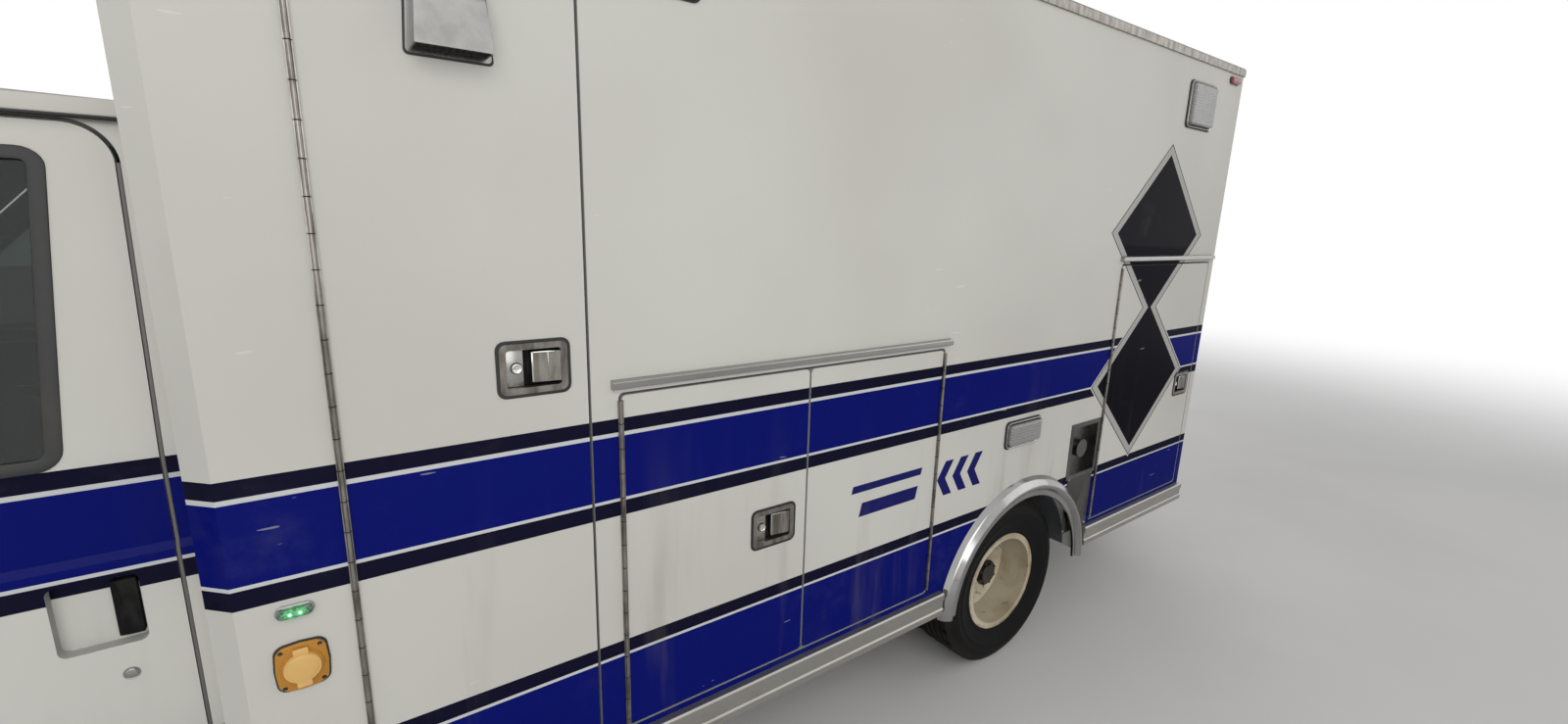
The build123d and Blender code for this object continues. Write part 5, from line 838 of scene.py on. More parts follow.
class Form:
    """A new piece, shaped from a primitive as by hand."""

    def __init__(self, name: str) -> None:
        """Takes the primitive that was just added."""
        self.piece = bpy.context.active_object
        self.piece.name = name
        self.piece.data.name = name

    @staticmethod
    def clear() -> None:
        """Deselects everything."""
        bpy.ops.object.select_all(action="DESELECT")

    def hold(self) -> None:
        """Selects this piece alone and makes it the active one."""
        self.clear()
        self.piece.select_set(True)
        bpy.context.view_layer.objects.active = self.piece

    @classmethod
    def block(cls, name: str, low: Point, high: Point) -> "Form":
        """A block between two corners."""
        cls.clear()
        low, high = Vector(low), Vector(high)
        bpy.ops.mesh.primitive_cube_add(size=1.0, location=(low + high) / 2, scale=high - low)
        bpy.ops.object.transform_apply(location=True, rotation=True, scale=True)
        return cls(name)

    @classmethod
    def disc(
        cls, name: str, centre: Point, axis: str, radius: float, depth: float,
        sides: int = 32, tip: float = -1.0,
    ) -> "Form":
        """A cylinder, or a cone where a tip radius is given.

        Args:
            name: Name of the piece.
            centre: Its middle.
            axis: The axis that it stands along.
            radius: Radius at its low end.
            depth: Length along its axis.
            sides: Flat sides round it.
            tip: Radius at its high end.

        Returns:
            The form.
        """
        cls.clear()
        turn = {"Z": (0, 0, 0), "Y": (-math.pi / 2, 0, 0), "X": (0, math.pi / 2, 0)}[axis]
        bpy.ops.mesh.primitive_cone_add(
            vertices=sides, radius1=radius, radius2=radius if tip < 0 else tip, depth=depth,
            end_fill_type="NGON", location=centre, rotation=turn,
        )
        bpy.ops.object.transform_apply(location=True, rotation=True, scale=True)
        return cls(name)

    @contextmanager
    def edit(self, test: Test | None = None, kind: str = "FACE") -> Iterator[None]:
        """Edit mode with the faces or edges that pass a test selected.

        Args:
            test: Takes an element's middle and its normal or direction, or None for all.
            kind: FACE, EDGE or VERT.

        Yields:
            Nothing, while the piece is in edit mode.
        """
        self.hold()
        bpy.ops.object.mode_set(mode="EDIT")
        bpy.ops.mesh.select_mode(type=kind)
        bpy.ops.mesh.select_all(action="DESELECT" if test else "SELECT")
        if test:
            mesh = bmesh.from_edit_mesh(self.piece.data)
            if kind == "FACE":
                rows = [(f, f.calc_center_median(), f.normal) for f in mesh.faces]
            elif kind == "EDGE":
                ends = [(e, e.verts[0].co, e.verts[1].co) for e in mesh.edges]
                rows = [(e, (first + second) / 2, second - first) for e, first, second in ends]
            else:
                rows = [(v, v.co, v.normal) for v in mesh.verts]
            for element, middle, way in rows:
                if test(middle, way):
                    element.select_set(True)
            mesh.select_flush_mode()
            bmesh.update_edit_mesh(self.piece.data)
        yield
        bpy.ops.object.mode_set(mode="OBJECT")

    def inset(self, test: Test, thickness: float, depth: float = 0.0, each: bool = False) -> "Form":
        """Insets the faces that pass, and raises or sinks them."""
        with self.edit(test):
            bpy.ops.mesh.inset(thickness=thickness, depth=depth, use_individual=each)
        return self

    def shift(self, test: Test | None, by: Point, kind: str = "FACE") -> "Form":
        """Moves what passes."""
        with self.edit(test, kind):
            bpy.ops.transform.translate(value=by)
        return self

    def swell(self, test: Test | None, factors: Point, centre: Point, kind: str = "FACE") -> "Form":
        """Scales what passes about a centre."""
        with self.edit(test, kind):
            bpy.ops.transform.resize(value=factors, center_override=centre)
        return self

    def turn(self, angle: float, axis: str, centre: Point) -> "Form":
        """Turns the whole piece, in degrees."""
        with self.edit():
            bpy.ops.transform.rotate(value=-math.radians(angle), orient_axis=axis, center_override=centre)
        return self

    def slice(self, point: Point, normal: Point, clear: bool = False) -> "Form":
        """Cuts across the piece, and drops what is beyond the cut where asked."""
        with self.edit():
            bpy.ops.mesh.bisect(
                plane_co=point, plane_no=normal, clear_outer=clear, clear_inner=False, use_fill=clear
            )
        return self

    def round(self, test: Test, offset: float, segments: int = 4) -> "Form":
        """Rounds the edges that pass."""
        with self.edit(test, "EDGE"):
            bpy.ops.mesh.bevel(offset=offset, segments=segments, affect="EDGES", clamp_overlap=True)
        return self

    def drop(self, test: Test) -> "Form":
        """Deletes the faces that pass."""
        with self.edit(test):
            bpy.ops.mesh.delete(type="FACE")
        return self

    def soften(self, width: float, segments: int = 2, angle: float = 30.0) -> "Form":
        """Bevels every edge sharper than an angle."""
        limit = math.radians(angle)
        return self.modify("BEVEL", width=width, segments=segments, limit_method="ANGLE", angle_limit=limit)

    def apply(self, modifier: str) -> "Form":
        """Applies a modifier."""
        self.hold()
        bpy.ops.object.modifier_apply(modifier=modifier)
        return self

    def modify(self, kind: str, **settings: object) -> "Form":
        """Adds a modifier with its settings and applies it."""
        made = self.piece.modifiers.new(kind.lower(), kind)
        for key, value in settings.items():
            setattr(made, key, value)
        return self.apply(made.name)

    def tidy(self) -> "Form":
        """Merges doubles and turns every face outwards."""
        with self.edit():
            bpy.ops.mesh.remove_doubles(threshold=1e-5)
            bpy.ops.mesh.normals_make_consistent(inside=False)
        return self

    def copy(self, name: str, place: Matrix) -> "Form":
        """A copy with its own mesh, at another place."""
        made = self.piece.copy()
        made.data = self.piece.data.copy()
        bpy.context.scene.collection.objects.link(made)
        made.data.transform(place)
        self.clear()
        bpy.context.view_layer.objects.active = made
        twin = Form(name)
        if place.determinant() < 0:
            twin.tidy()
        return twin

    def move(self, place: Matrix) -> "Form":
        """Moves the finished mesh."""
        self.piece.data.transform(place)
        return self.tidy() if place.determinant() < 0 else self

    def join(self, others: Sequence["Form"]) -> "Form":
        """Joins others into this one."""
        self.clear()
        for form in (self, *others):
            form.piece.select_set(True)
        bpy.context.view_layer.objects.active = self.piece
        if others:
            bpy.ops.object.join()
        return self

    def finish(
        self, finish: Finish, body: str, slot: str = "", replaces: Sequence[str] = (), angle: float = 35.0
    ) -> bpy.types.Object:
        """Shades and dresses the piece, and sets it on its body.

        Args:
            finish: Its finish.
            body: The body that carries it.
            slot: Material slot that it takes its finish from; not used.
            replaces: Nodes that it stands for.
            angle: Edges sharper than this stay sharp.

        Returns:
            The finished object.
        """
        self.hold()
        bpy.ops.object.shade_smooth_by_angle(angle=math.radians(angle))
        self.piece.data.materials.clear()
        self.piece.data.materials.append(finish.material())
        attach(self.piece, body)
        if replaces:
            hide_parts(*replaces)
        log.info("%s: %d faces on %s", self.piece.name, len(self.piece.data.polygons), body)
        return self.piece


def joined(name: str, forms: Sequence[Form]) -> Form:
    """One form of several."""
    first = forms[0]
    first.piece.name = name
    first.piece.data.name = name
    return first.join(forms[1:])


def discard(*patterns: Form) -> None:
    """Deletes forms that were only there to be copied."""
    for form in patterns:
        bpy.data.objects.remove(form.piece)


def along_y(_middle: Vector, way: Vector) -> bool:
    """True for an edge along Y."""
    return abs(way.x) + abs(way.z) < 1e-6


def along_x(_middle: Vector, way: Vector) -> bool:
    """True for an edge along X."""
    return abs(way.y) + abs(way.z) < 1e-6


def along_z(_middle: Vector, way: Vector) -> bool:
    """True for an edge along Z."""
    return abs(way.x) + abs(way.y) < 1e-6


def facing(axis: int, sign: int = 1, limit: float = 0.9) -> Test:
    """Test for faces whose normal points along an axis."""
    return lambda middle, way: way[axis] * sign > limit


@dataclass
class Body:
    """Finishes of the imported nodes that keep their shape."""

    def finishes(self) -> dict[Finish, str]:
        """Names of the nodes that take each finish, parted by spaces."""
        return {
            Livery("module_paint"): "module_front_wall module_left_wall module_right_wall module_rear_frame "
            "module_roof left_mid_door_rear",
            Livery("cab_paint", cab=True): "cab_shell cab_door_left cab_door_right front_fenders hood",
            Livery("tall_door_paint", latch=(0.481, 1.570)): "left_front_door",
            Livery("pair_door_paint", latch=(-0.184, 1.012)): "left_mid_door_front",
            Livery("left_rear_door_paint", latch=(-2.820, 1.120)): "left_rear_door",
            Livery("right_rear_door_paint", latch=(-2.820, 1.120)): "right_rear_door",
            Livery("entry_door_paint", latch=(0.214, 1.180)): "right_entry_door",
            Livery("back_door_paint", latch=(0.090, 1.240), back=True): "rear_door_left",
            Livery("back_door_pair_paint"): "rear_door_right",
            Livery("nose_paint", cab=True): "grille_panel",
            SCREEN: "windshield",
            GLASS: "cab_door_glass_left cab_door_glass_right",
            DARK_GLASS: "right_entry_glass rear_glass_left rear_glass_right",
            CLEAR_LENS: "headlamps",
            CAB_TRIM: "dashboard",
            SEAT_CLOTH: "cab_seats",
            VINYL: "bench_pads",
            LAMINATE: "interior_cabinets",
            FLOORING: "module_floor",
            LINING: "left_compartments right_compartments",
            CHROME: "fenderettes front_bumper",
            RAILS: "rails",
            POCKET: "fuel_pocket",
            YELLOW: "shore_inlet",
            SHADED_HOOD_CHROME: "vent_hood",
            RED_LENS: "warning_lights tail_lamps marker_lamps",
            CheckerPlate("tread_plate"): "rear_bumper",
            FRAME_PAINT: "chassis_frame",
            AXLE_PAINT: "front_axle rear_axle tie_rod",
            CAST: "knuckle_left knuckle_right engine_block",
            EXHAUST: "exhaust",
            TANK: "fuel_tank",
            WheelPaint("front_wheel_paint", FRONT_AXLE_X, 0.066): "front_wheel_left front_wheel_right",
            WheelPaint("rear_wheel_paint", REAR_AXLE_X, 0.076): "rear_wheels_left rear_wheels_right",
            FRONT_RUBBER: "front_tyre_left front_tyre_right",
            REAR_RUBBER: "rear_tyres_left rear_tyres_right",
        }

    def dress(self) -> None:
        """Puts each finish on its node."""
        rows = ((name, finish) for finish, names in self.finishes().items() for name in names.split())
        for name, finish in rows:
            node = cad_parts[name]
            if not node.material_slots:
                node.data.materials.append(finish.material())
            for holder in node.material_slots:
                holder.material = finish.material()
            log.info("%s: %s", name, finish.name)


@dataclass
class Tyres:
    """Highway tyres with ribs and shoulder notches, in place of the plain ones."""

    radius: float = 0.371
    tread: float = 0.172
    sides: int = 90
    grooves: tuple[float, ...] = (-0.051, -0.017, 0.017, 0.051)
    groove_width: float = 0.008
    groove_depth: float = 0.011
    notch_every: int = 3
    notch_depth: float = 0.008
    # Steps of the sidewall as inwards and outwards
    wall_steps: tuple[tuple[float, float], ...] = (
        (0.006, 0.0035), (0.014, 0.010), (0.018, 0.0085), (0.016, 0.003), (0.003, -0.0018),
        (0.020, -0.002), (0.002, 0.0014), (0.004, 0.0), (0.002, -0.0014), (0.024, -0.006),
        (0.022, -0.008), (0.003, 0.0015), (0.010, -0.002), (0.006, -0.010), (0.0175, -0.0075),
    )
    front_y: float = 0.860
    outer_y: float = 1.067
    inner_y: float = 0.800

    def model(self) -> Form:
        """One tyre about its own centre."""
        tyre = Form.disc("tyre_pattern", (0, 0, 0), "Y", self.radius, self.tread, self.sides)
        half = self.groove_width / 2
        edges = sorted({at + side * half for at in self.grooves for side in (-1, 1)})
        shoulder = self.grooves[-1] + half + 0.006
        for at in (*edges, -shoulder, shoulder):
            tyre.slice((0, at, 0), (0, 1, 0))
        step = 2 * math.pi / self.sides

        def in_groove(middle: Vector, way: Vector) -> bool:
            """True for a face between the ribs."""
            return abs(way.y) < 0.1 and any(abs(middle.y - at) < half for at in self.grooves)

        def in_notch(middle: Vector, way: Vector) -> bool:
            """True for a face where a notch of the shoulder goes in."""
            number = round(math.atan2(middle.z, middle.x) / step - 0.5)
            outside = abs(middle.y) > shoulder and middle.xz.length > self.radius - self.groove_depth
            return abs(way.y) < 0.1 and outside and number % self.notch_every == 0

        def in_wall(middle: Vector, way: Vector) -> bool:
            """True for the face in the middle of a sidewall."""
            return abs(way.y) > 0.9 and middle.xz.length < 0.02

        def at_bead(middle: Vector, _way: Vector) -> bool:
            """True for an edge round the bead."""
            return abs(middle.xz.length - bead) < 0.003 and abs(middle.y) > 0.02

        tyre.inset(in_groove, 0.0, -self.groove_depth)
        tyre.inset(in_notch, 0.0015, -self.notch_depth, each=True)
        for inwards, outwards in self.wall_steps:
            tyre.inset(in_wall, inwards, outwards)
        tyre.drop(in_wall)
        bead = self.radius - sum(inwards for inwards, _ in self.wall_steps)
        with tyre.edit(at_bead, "EDGE"):
            bpy.ops.mesh.bridge_edge_loops()
        return tyre.tidy()

    def build(self) -> None:
        """Makes the six tyres on their four bodies."""
        pattern = self.model()
        for side, sign in (("left", 1), ("right", -1)):
            place = Matrix.Translation((FRONT_AXLE_X, sign * self.front_y, AXLE_Z))
            front = pattern.copy(f"front_{side}_treaded_tyre", place)
            front.finish(FRONT_RUBBER, f"front_{side}_wheel", "tyre", [f"front_tyre_{side}"])
            rear = [
                pattern.copy("rear_tyre", Matrix.Translation((REAR_AXLE_X, sign * at, AXLE_Z)))
                for at in (self.outer_y, self.inner_y)
            ]
            twins = joined(f"rear_{side}_treaded_tyres", rear)
            twins.finish(REAR_RUBBER, f"rear_{side}_wheels", "tyre", [f"rear_tyres_{side}"])
        discard(pattern)


def central(form: Form, axis: int = 1, sign: int = 1, near: float = 0.001) -> Test:
    """Test for the face in the middle of a piece's far end.

    Args:
        form: The piece.
        axis: Axis that the face looks along.
        sign: Minus one where it looks back along the axis.
        near: How far the face's middle may lie from the piece's.

    Returns:
        The test.
    """
    vertices = form.piece.data.vertices
    reach = sum((vertex.co for vertex in vertices), Vector()) / len(vertices)
    reach[axis] = 0.0

    def test(middle: Vector, way: Vector) -> bool:
        flat = middle.copy()
        flat[axis] = 0.0
        return way[axis] * sign > 0.9 and (flat - reach).length < near

    return test


def plate(name: str, low: Point, high: Point, corner: float, edge: float = 0.0, segments: int = 4) -> Form:
    """A plate on the left wall with round corners and, where asked, a soft edge.

    Args:
        name: Name of the piece.
        low: Its low corner.
        high: Its high corner.
        corner: Radius of its corners.
        edge: Width of the bevel round it.
        segments: Facets of a corner.

    Returns:
        The form.
    """
    form = Form.block(name, low, high).round(along_y, corner, segments)
    return form.soften(edge) if edge else form


def hollow(form: Form, width: float, edge: float = 0.0, near: float = 0.001) -> Form:
    """Opens a plate through its middle along Y.

    Args:
        form: The plate.
        width: Width of the frame that is left.
        edge: Width of the bevel round it.
        near: How far the middle of a face may lie from the plate's.

    Returns:
        The form.
    """
    tests = central(form, 1, 1, near), central(form, 1, -1, near)
    for test in tests:
        form.inset(test, width)
    form.drop(lambda middle, way: any(test(middle, way) for test in tests))
    with form.edit(lambda middle, way: False, "EDGE"):
        bpy.ops.mesh.select_non_manifold()
        bpy.ops.mesh.bridge_edge_loops()
    form.tidy()
    return form.soften(edge) if edge else form


def screws(
    name: str, spots: Sequence[Point], radius: float, length: float, head: float, inset: float
) -> Form:
    """Screws on a left wall, each with a sunk head.

    Args:
        name: Name of the piece.
        spots: Middle of each.
        radius: Radius at its foot.
        length: Its length.
        head: Radius of its head.
        inset: Width of the rim that is left round the sunk part.

    Returns:
        The form.
    """
    forms = [Form.disc("screw", spot, "Y", radius, length, 20, head) for spot in spots]
    for form in forms:
        form.inset(facing(1), inset, -0.001)
    return joined(name, forms)


@dataclass(frozen=True)
class Lamp:
    """One lamp on a wall of the module."""

    wall: Wall
    across: float
    up: float
    width: float
    tall: float
    lens: Finish

    def place(self) -> Matrix:
        """Turns a lamp made about the origin to its place."""
        return self.wall.place() @ Matrix.Translation((self.across, self.wall.face(), self.up))


@dataclass
class Lamps:
    """Warning, tail and marker lamps, each with its gasket, bezel and crowned lens."""

    corner: float = 0.022
    gasket: float = 0.004
    crown: tuple[float, float] = (0.0035, 0.0015)
    # Part, inset from the outline, low and high side, and bevel
    layers: tuple[tuple[str, float, float, float, float], ...] = (
        ("gasket", 0.0, 0.0, 0.0045, 0.001),
        ("well", 0.0115, 0.002, 0.0078, 0.0),
        ("bezel", 0.0045, 0.0, 0.0115, 0.002),
        ("lens", 0.0155, 0.004, 0.019, 0.0),
    )
    marker_z: float = 2.626
    marker_size: tuple[float, float] = (0.104, 0.034)
    marker_height: float = 0.014

    def warning(self) -> list[Lamp]:
        """Warning lights of every wall."""
        rows = [
            Lamp(Wall.LEFT, 0.185, 2.482, 0.245, 0.190, CLEAR_LENS),
            Lamp(Wall.RIGHT, 0.515, 2.545, 0.245, 0.140, CLEAR_LENS),
            Lamp(Wall.REAR, 0.0, 2.525, 0.236, 0.150, AMBER_LENS),
        ]
        for wall in (Wall.LEFT, Wall.RIGHT):
            rows.append(Lamp(wall, -2.560, 2.472, 0.262, 0.206, CLEAR_LENS))
            rows.append(Lamp(wall, -1.420, 1.092, 0.236, 0.116, CLEAR_LENS))
        rows += [Lamp(Wall.REAR, side * 0.960, 2.500, 0.236, 0.180, RED_LENS) for side in (-1, 1)]
        for at in (-0.930, -0.480, 0.0, 0.480, 0.930):
            rows.append(Lamp(Wall.FRONT, at, 2.480, 0.236, 0.180, RED_LENS if at else CLEAR_LENS))
        return rows

    def tail(self) -> list[Lamp]:
        """Three lamps one over the other at each side of the rear doors."""
        heights = ((1.010, CLEAR_LENS), (1.150, AMBER_LENS), (1.290, RED_LENS))
        rows = [(side, up, lens) for side in (-1, 1) for up, lens in heights]
        return [Lamp(Wall.REAR, side * 0.905, up, 0.190, 0.122, lens) for side, up, lens in rows]

    def markers(self) -> list[Lamp]:
        """Small lamps under the roof's edge, amber at the front and red at the rear."""
        spots = [(wall, at) for wall in (Wall.LEFT, Wall.RIGHT) for at in (-2.880, 0.960)]
        row = (-1.080, -0.160, 0.0, 0.160, 1.080)
        spots += [(wall, at) for wall in (Wall.FRONT, Wall.REAR) for at in row]
        rows = []
        for wall, at in spots:
            red = wall is Wall.REAR or at < -2.0
            rows.append(Lamp(wall, at, self.marker_z, *self.marker_size, RED_LENS if red else AMBER_LENS))
        return rows

    def large(self, lamp: Lamp) -> list[tuple[Form, Finish | None]]:
        """A warning or tail lamp about the origin.

        Args:
            lamp: The lamp.

        Returns:
            Each part with its finish, or None where it takes the lens's own.
        """
        half_w, half_h = lamp.width / 2, lamp.tall / 2
        forms = {}
        for name, inset, low, high, edge in self.layers:
            corners = (inset - half_w, low, inset - half_h), (half_w - inset, high, half_h - inset)
            forms[name] = plate(name, *corners, self.corner - inset / 2, edge)
        forms["bezel"].inset(central(forms["bezel"]), 0.007, -0.005)
        lens = forms["lens"]
        lens.inset(central(lens), 0.006, self.crown[0]).inset(central(lens), 0.007, self.crown[1])
        lens.soften(0.0012, 2, 8.0)
        return [(forms["gasket"], GASKET), (forms["well"], GASKET), (forms["bezel"], CHROME), (lens, None)]

    def small(self, lamp: Lamp) -> list[tuple[Form, Finish | None]]:
        """A marker lamp about the origin.

        Args:
            lamp: The lamp.

        Returns:
            Each part with its finish, or None where it takes the lens's own.
        """
        half_w, half_h = lamp.width / 2, lamp.tall / 2
        rim = 0.003
        base = plate("base", (-half_w, 0, -half_h), (half_w, 0.005, half_h), half_h - 0.0005, 0.0008, 6)
        low, high = (rim - half_w, 0, rim - half_h), (half_w - rim, self.marker_height, half_h - rim)
        lens = plate("lens", low, high, half_h - rim - 0.0005, 0.0, 6)
        lens.inset(central(lens), 0.003, 0.0025).inset(central(lens), 0.004, 0.0015)
        return [(base, CHROME if lamp.lens is GREEN_LENS else BLACK_PLASTIC), (lens, None)]

    def build(self) -> None:
        """Makes each size once and copies it to its places."""
        charge = Lamp(Wall.LEFT, 0.953, 1.143, 0.063, 0.026, GREEN_LENS)
        kinds = (
            ("warning", self.warning(), self.large, "warning_lights"),
            ("tail", self.tail(), self.large, "tail_lamps"),
            ("marker", self.markers(), self.small, "marker_lamps"),
            ("charge", [charge], self.small, "marker_lamps"),
        )
        for kind, rows, make, node in kinds:
            patterns: dict[tuple[float, float], list[tuple[Form, Finish | None]]] = {}
            groups: dict[Finish, list[Form]] = {}
            for lamp in rows:
                key = (lamp.width, lamp.tall)
                if key not in patterns:
                    patterns[key] = make(lamp)
                for form, finish in patterns[key]:
                    groups.setdefault(finish or lamp.lens, []).append(form.copy(kind, lamp.place()))
            for finish, forms in groups.items():
                joined(f"{kind}_lamps_{finish.name}", forms).finish(finish, "vehicle", "red_lens", [node])
            discard(*(form for parts in patterns.values() for form, _ in parts))


@dataclass
class Latches:
    """Gasket, lock plate, lock and paddle ridge of each paddle latch, with a dark ring round the lock and a
    dark key slot as painted shade.
    """

    half: tuple[float, float] = (0.073, 0.0565)
    gasket: float = 0.0075
    lock_x: float = 0.035
    # Wall, middle across and up, and the body that carries it
    rows: tuple[tuple[Wall, float, float, str], ...] = (
        (Wall.LEFT, 0.481, 1.570, "tall_door"),
        (Wall.LEFT, -0.184, 1.012, "pair_front_door"),
        (Wall.LEFT, -2.820, 1.120, "left_rear_hatch"),
        (Wall.RIGHT, 0.214, 1.180, "entry_door"),
        (Wall.RIGHT, -2.820, 1.120, "right_rear_hatch"),
        (Wall.REAR, 0.090, 1.240, "back_left_door"),
    )

    def bright_parts(self) -> Form:
        """Face of the round lock, and the upper and inner edges of the paddle."""
        barrel = Form.disc("lock", (self.lock_x, -0.0085, 0), "Y", 0.0105, 0.008, 32)
        barrel.inset(facing(1), 0.0022).inset(central(barrel), 0.0008, -0.0010)
        barrel.soften(0.0006, 2, 50.0)
        top = Form.block("top_edge", (-0.0575, -0.0030, 0.0318), (-0.001, -0.0004, 0.0345))
        top.shift(lambda at, way: at.x > -0.01, (0, -0.0062, 0), "VERT").soften(0.0006)
        lip = Form.block("lip", (-0.0005, -0.0100, -0.0335), (0.0032, -0.0072, 0.034)).soften(0.001)
        return joined("latch_bright", [barrel, top, lip])

    def plate_parts(self) -> Form:
        """Plate round the lock, and the ridge down the middle of the paddle."""
        lock_plate = Form.block("lock_plate", (0.0205, -0.0150, -0.0415), (0.0582, -0.0122, 0.0415))
        ridge = Form.block("ridge", (-0.0335, -0.0052, -0.034), (-0.0305, -0.0024, 0.034))
        return joined("latch_plate", [lock_plate.soften(0.0008), ridge.soften(0.0012)])

    def build(self) -> None:
        """Copies the parts to each latch."""
        wide, tall = self.half[0] + self.gasket, self.half[1] + self.gasket
        rim = plate("latch_gasket", (-wide, 0, -tall), (wide, 0.0022, tall), 0.020)
        rim = hollow(rim, self.gasket + 0.002, 0.0006)
        # Dark ring round the lock barrel and dark block in its key slot: painted shade of the gap and of the
        # keyway
        shade = Form.disc("lock_shadow_ring", (self.lock_x, -0.0112, 0), "Y", 0.0132, 0.002, 32)
        shade.inset(facing(1), 0.0015, -0.0004)
        low = (self.lock_x - 0.0011, -0.0082, -0.0048)
        key = Form.block("key_slot", low, (self.lock_x + 0.0011, -0.0060, 0.0048)).soften(0.0003)
        dark = joined("latch_rubber_and_shadow", [rim, shade, key])
        # The gasket part also carries the painted shade of the lock's ring and key slot
        parts = (
            ("gasket", dark, GASKET),
            ("plate", self.plate_parts(), STAINLESS),
            ("lock", self.bright_parts(), BRIGHT),
        )
        for wall, across, up, body in self.rows:
            place = wall.place() @ Matrix.Translation((across, wall.face(), up))
            for part, form, finish in parts:
                form.copy(f"{body}_latch_{part}", place).finish(finish, body)
        discard(*(form for _, form, _ in parts))


@dataclass
class TallDoorVent:
    """Gasket round the vent hood's flange and the dark screen in its mouth."""

    low: tuple[float, float] = (0.539, 0.672)
    high: tuple[float, float] = (0.553, 0.658)
    bottom: float = 2.196
    top: float = 2.392
    margin: float = 0.0125
    screen_in: float = 0.004
    slots: int = 10
    slot_pitch: float = 0.0125

    def build(self) -> None:
        """Makes both pieces."""
        out = self.margin
        lows = self.low[0] - out, MODULE_SIDE, self.bottom - out
        gasket = Form.block("vent_gasket", lows, (self.low[1] + out, MODULE_SIDE + 0.0022, self.top + out))
        middle = sum(self.low) / 2
        share = (self.high[1] - self.high[0] + 2 * out) / (self.low[1] - self.low[0] + 2 * out)
        edge = self.top + out - 1e-4
        gasket.swell(lambda at, way: at.z > edge, (share, 1, 1), (middle, MODULE_SIDE, edge), "VERT")
        gasket.round(lambda at, way: along_y(at, way) and at.z > edge, 0.036, 6)
        gasket.round(lambda at, way: along_y(at, way) and at.z < self.bottom, 0.010, 4)
        gasket.soften(0.0007).finish(GASKET, "tall_door")
        lows = self.low[0] + self.screen_in, MODULE_SIDE + 0.0032, self.bottom + 0.001
        highs = self.low[1] - self.screen_in, MODULE_SIDE + 0.053, self.bottom + 0.009
        mouth = Form.block("vent_screen", lows, highs)
        for number in range(1, self.slots):
            mouth.slice((lows[0] + self.slot_pitch * number, 0, 0), (1, 0, 0))
        mouth.inset(facing(2, -1), 0.0022, -0.004, each=True)
        mouth.finish(GASKET, "tall_door")


@dataclass
class Inlet:
    """Power inlet: black gasket, yellow flange with four screws, and a round lid with two tabs."""

    centre: tuple[float, float] = (0.953, 1.024)
    half: tuple[float, float] = (0.0395, 0.0465)
    bulge: float = 0.0035
    thickness: float = 0.0085
    lid_radius: float = 0.0315
    screw: tuple[float, float] = (0.0315, 0.0385)

    def cushion(self, name: str, grow: float, low: float, high: float, edge: float) -> Form:
        """Plate with bulged sides and round corners.

        Args:
            name: Name of the piece.
            grow: How far it stands out beyond the flange.
            low: Its back.
            high: Its front.
            edge: Width of the bevel round it.

        Returns:
            The form.
        """
        wide, tall = self.half[0] + grow, self.half[1] + grow
        form = Form.block(name, (-wide, low, -tall), (wide, high, tall))
        form.slice((0, 0, 0), (1, 0, 0)).slice((0, 0, 0), (0, 0, 1))
        for axis, sign in ((2, 1), (2, -1), (0, 1), (0, -1)):
            by = Vector()
            by[axis] = sign * self.bulge
            form.shift(lambda at, way: abs(at[2 - axis]) < 1e-4 and at[axis] * sign > 0.01, by, "VERT")
        form.round(lambda at, way: along_y(at, way) and abs(at.x) > 0.02 and abs(at.z) > 0.02, 0.016, 6)
        return form.soften(edge, 3, 50.0)

    def build(self) -> None:
        """Makes the inlet's pieces."""
        gasket = self.cushion("inlet_gasket", 0.0028, 0.0, 0.0035, 0.0008)
        flange = self.cushion("flange", 0.0, 0.002, self.thickness, 0.002)
        collar = Form.disc("collar", (0, self.thickness + 0.001, 0), "Y", 0.037, 0.004, 40, 0.0345)
        body = joined("power_inlet", [flange, collar])
        lid = Form.disc("lid", (0, 0.0148, 0), "Y", self.lid_radius, 0.0075, 40, self.lid_radius - 0.0015)
        lid.inset(facing(1), 0.004, -0.0008).inset(central(lid), 0.0012, 0.0016).soften(0.0006)
        parts = [lid]
        for low in (0.0275, -0.0415):
            tab = Form.block("tab", (-0.0125, 0.0115, low), (0.0125, 0.0165, low + 0.014))
            parts.append(tab.round(along_y, 0.003).soften(0.001))
        cover = joined("inlet_lid", parts)
        aside, up = self.screw
        spots = [(x, self.thickness + 0.0008, z) for x in (-aside, aside) for z in (-up, up)]
        fixings = screws("inlet_screws", spots, 0.0042, 0.002, 0.0034, 0.0018)
        place = Matrix.Translation((self.centre[0], MODULE_SIDE, self.centre[1]))
        for form, finish in ((gasket, GASKET), (body, YELLOW), (cover, PALE_YELLOW), (fixings, DARK_STEEL)):
            form.move(place).finish(finish, "vehicle", "yellow_plastic", ["shore_inlet"])


@dataclass
class SillPlate:
    """Dark plate below the fuel pocket, with a screw at each corner."""

    low: tuple[float, float] = (-2.018, 0.529)
    high: tuple[float, float] = (-1.814, 0.806)
    screw_in: float = 0.012

    def build(self) -> None:
        """Makes the plate and its screws."""
        lows = self.low[0], MODULE_SIDE, self.low[1]
        highs = self.high[0], MODULE_SIDE + 0.002, self.high[1]
        # The dark steel finish is partly painted shade: the plate lies in shadow low on the wall
        plate("fuel_sill_plate", lows, highs, 0.004, 0.0006).finish(DARK_STEEL, "vehicle")
        ends = [(low + self.screw_in, high - self.screw_in) for low, high in zip(self.low, self.high)]
        spots = [(x, MODULE_SIDE + 0.003, z) for x in ends[0] for z in ends[1]]
        screws("fuel_sill_screws", spots, 0.005, 0.0024, 0.0038, 0.0024).finish(ZINC, "vehicle")


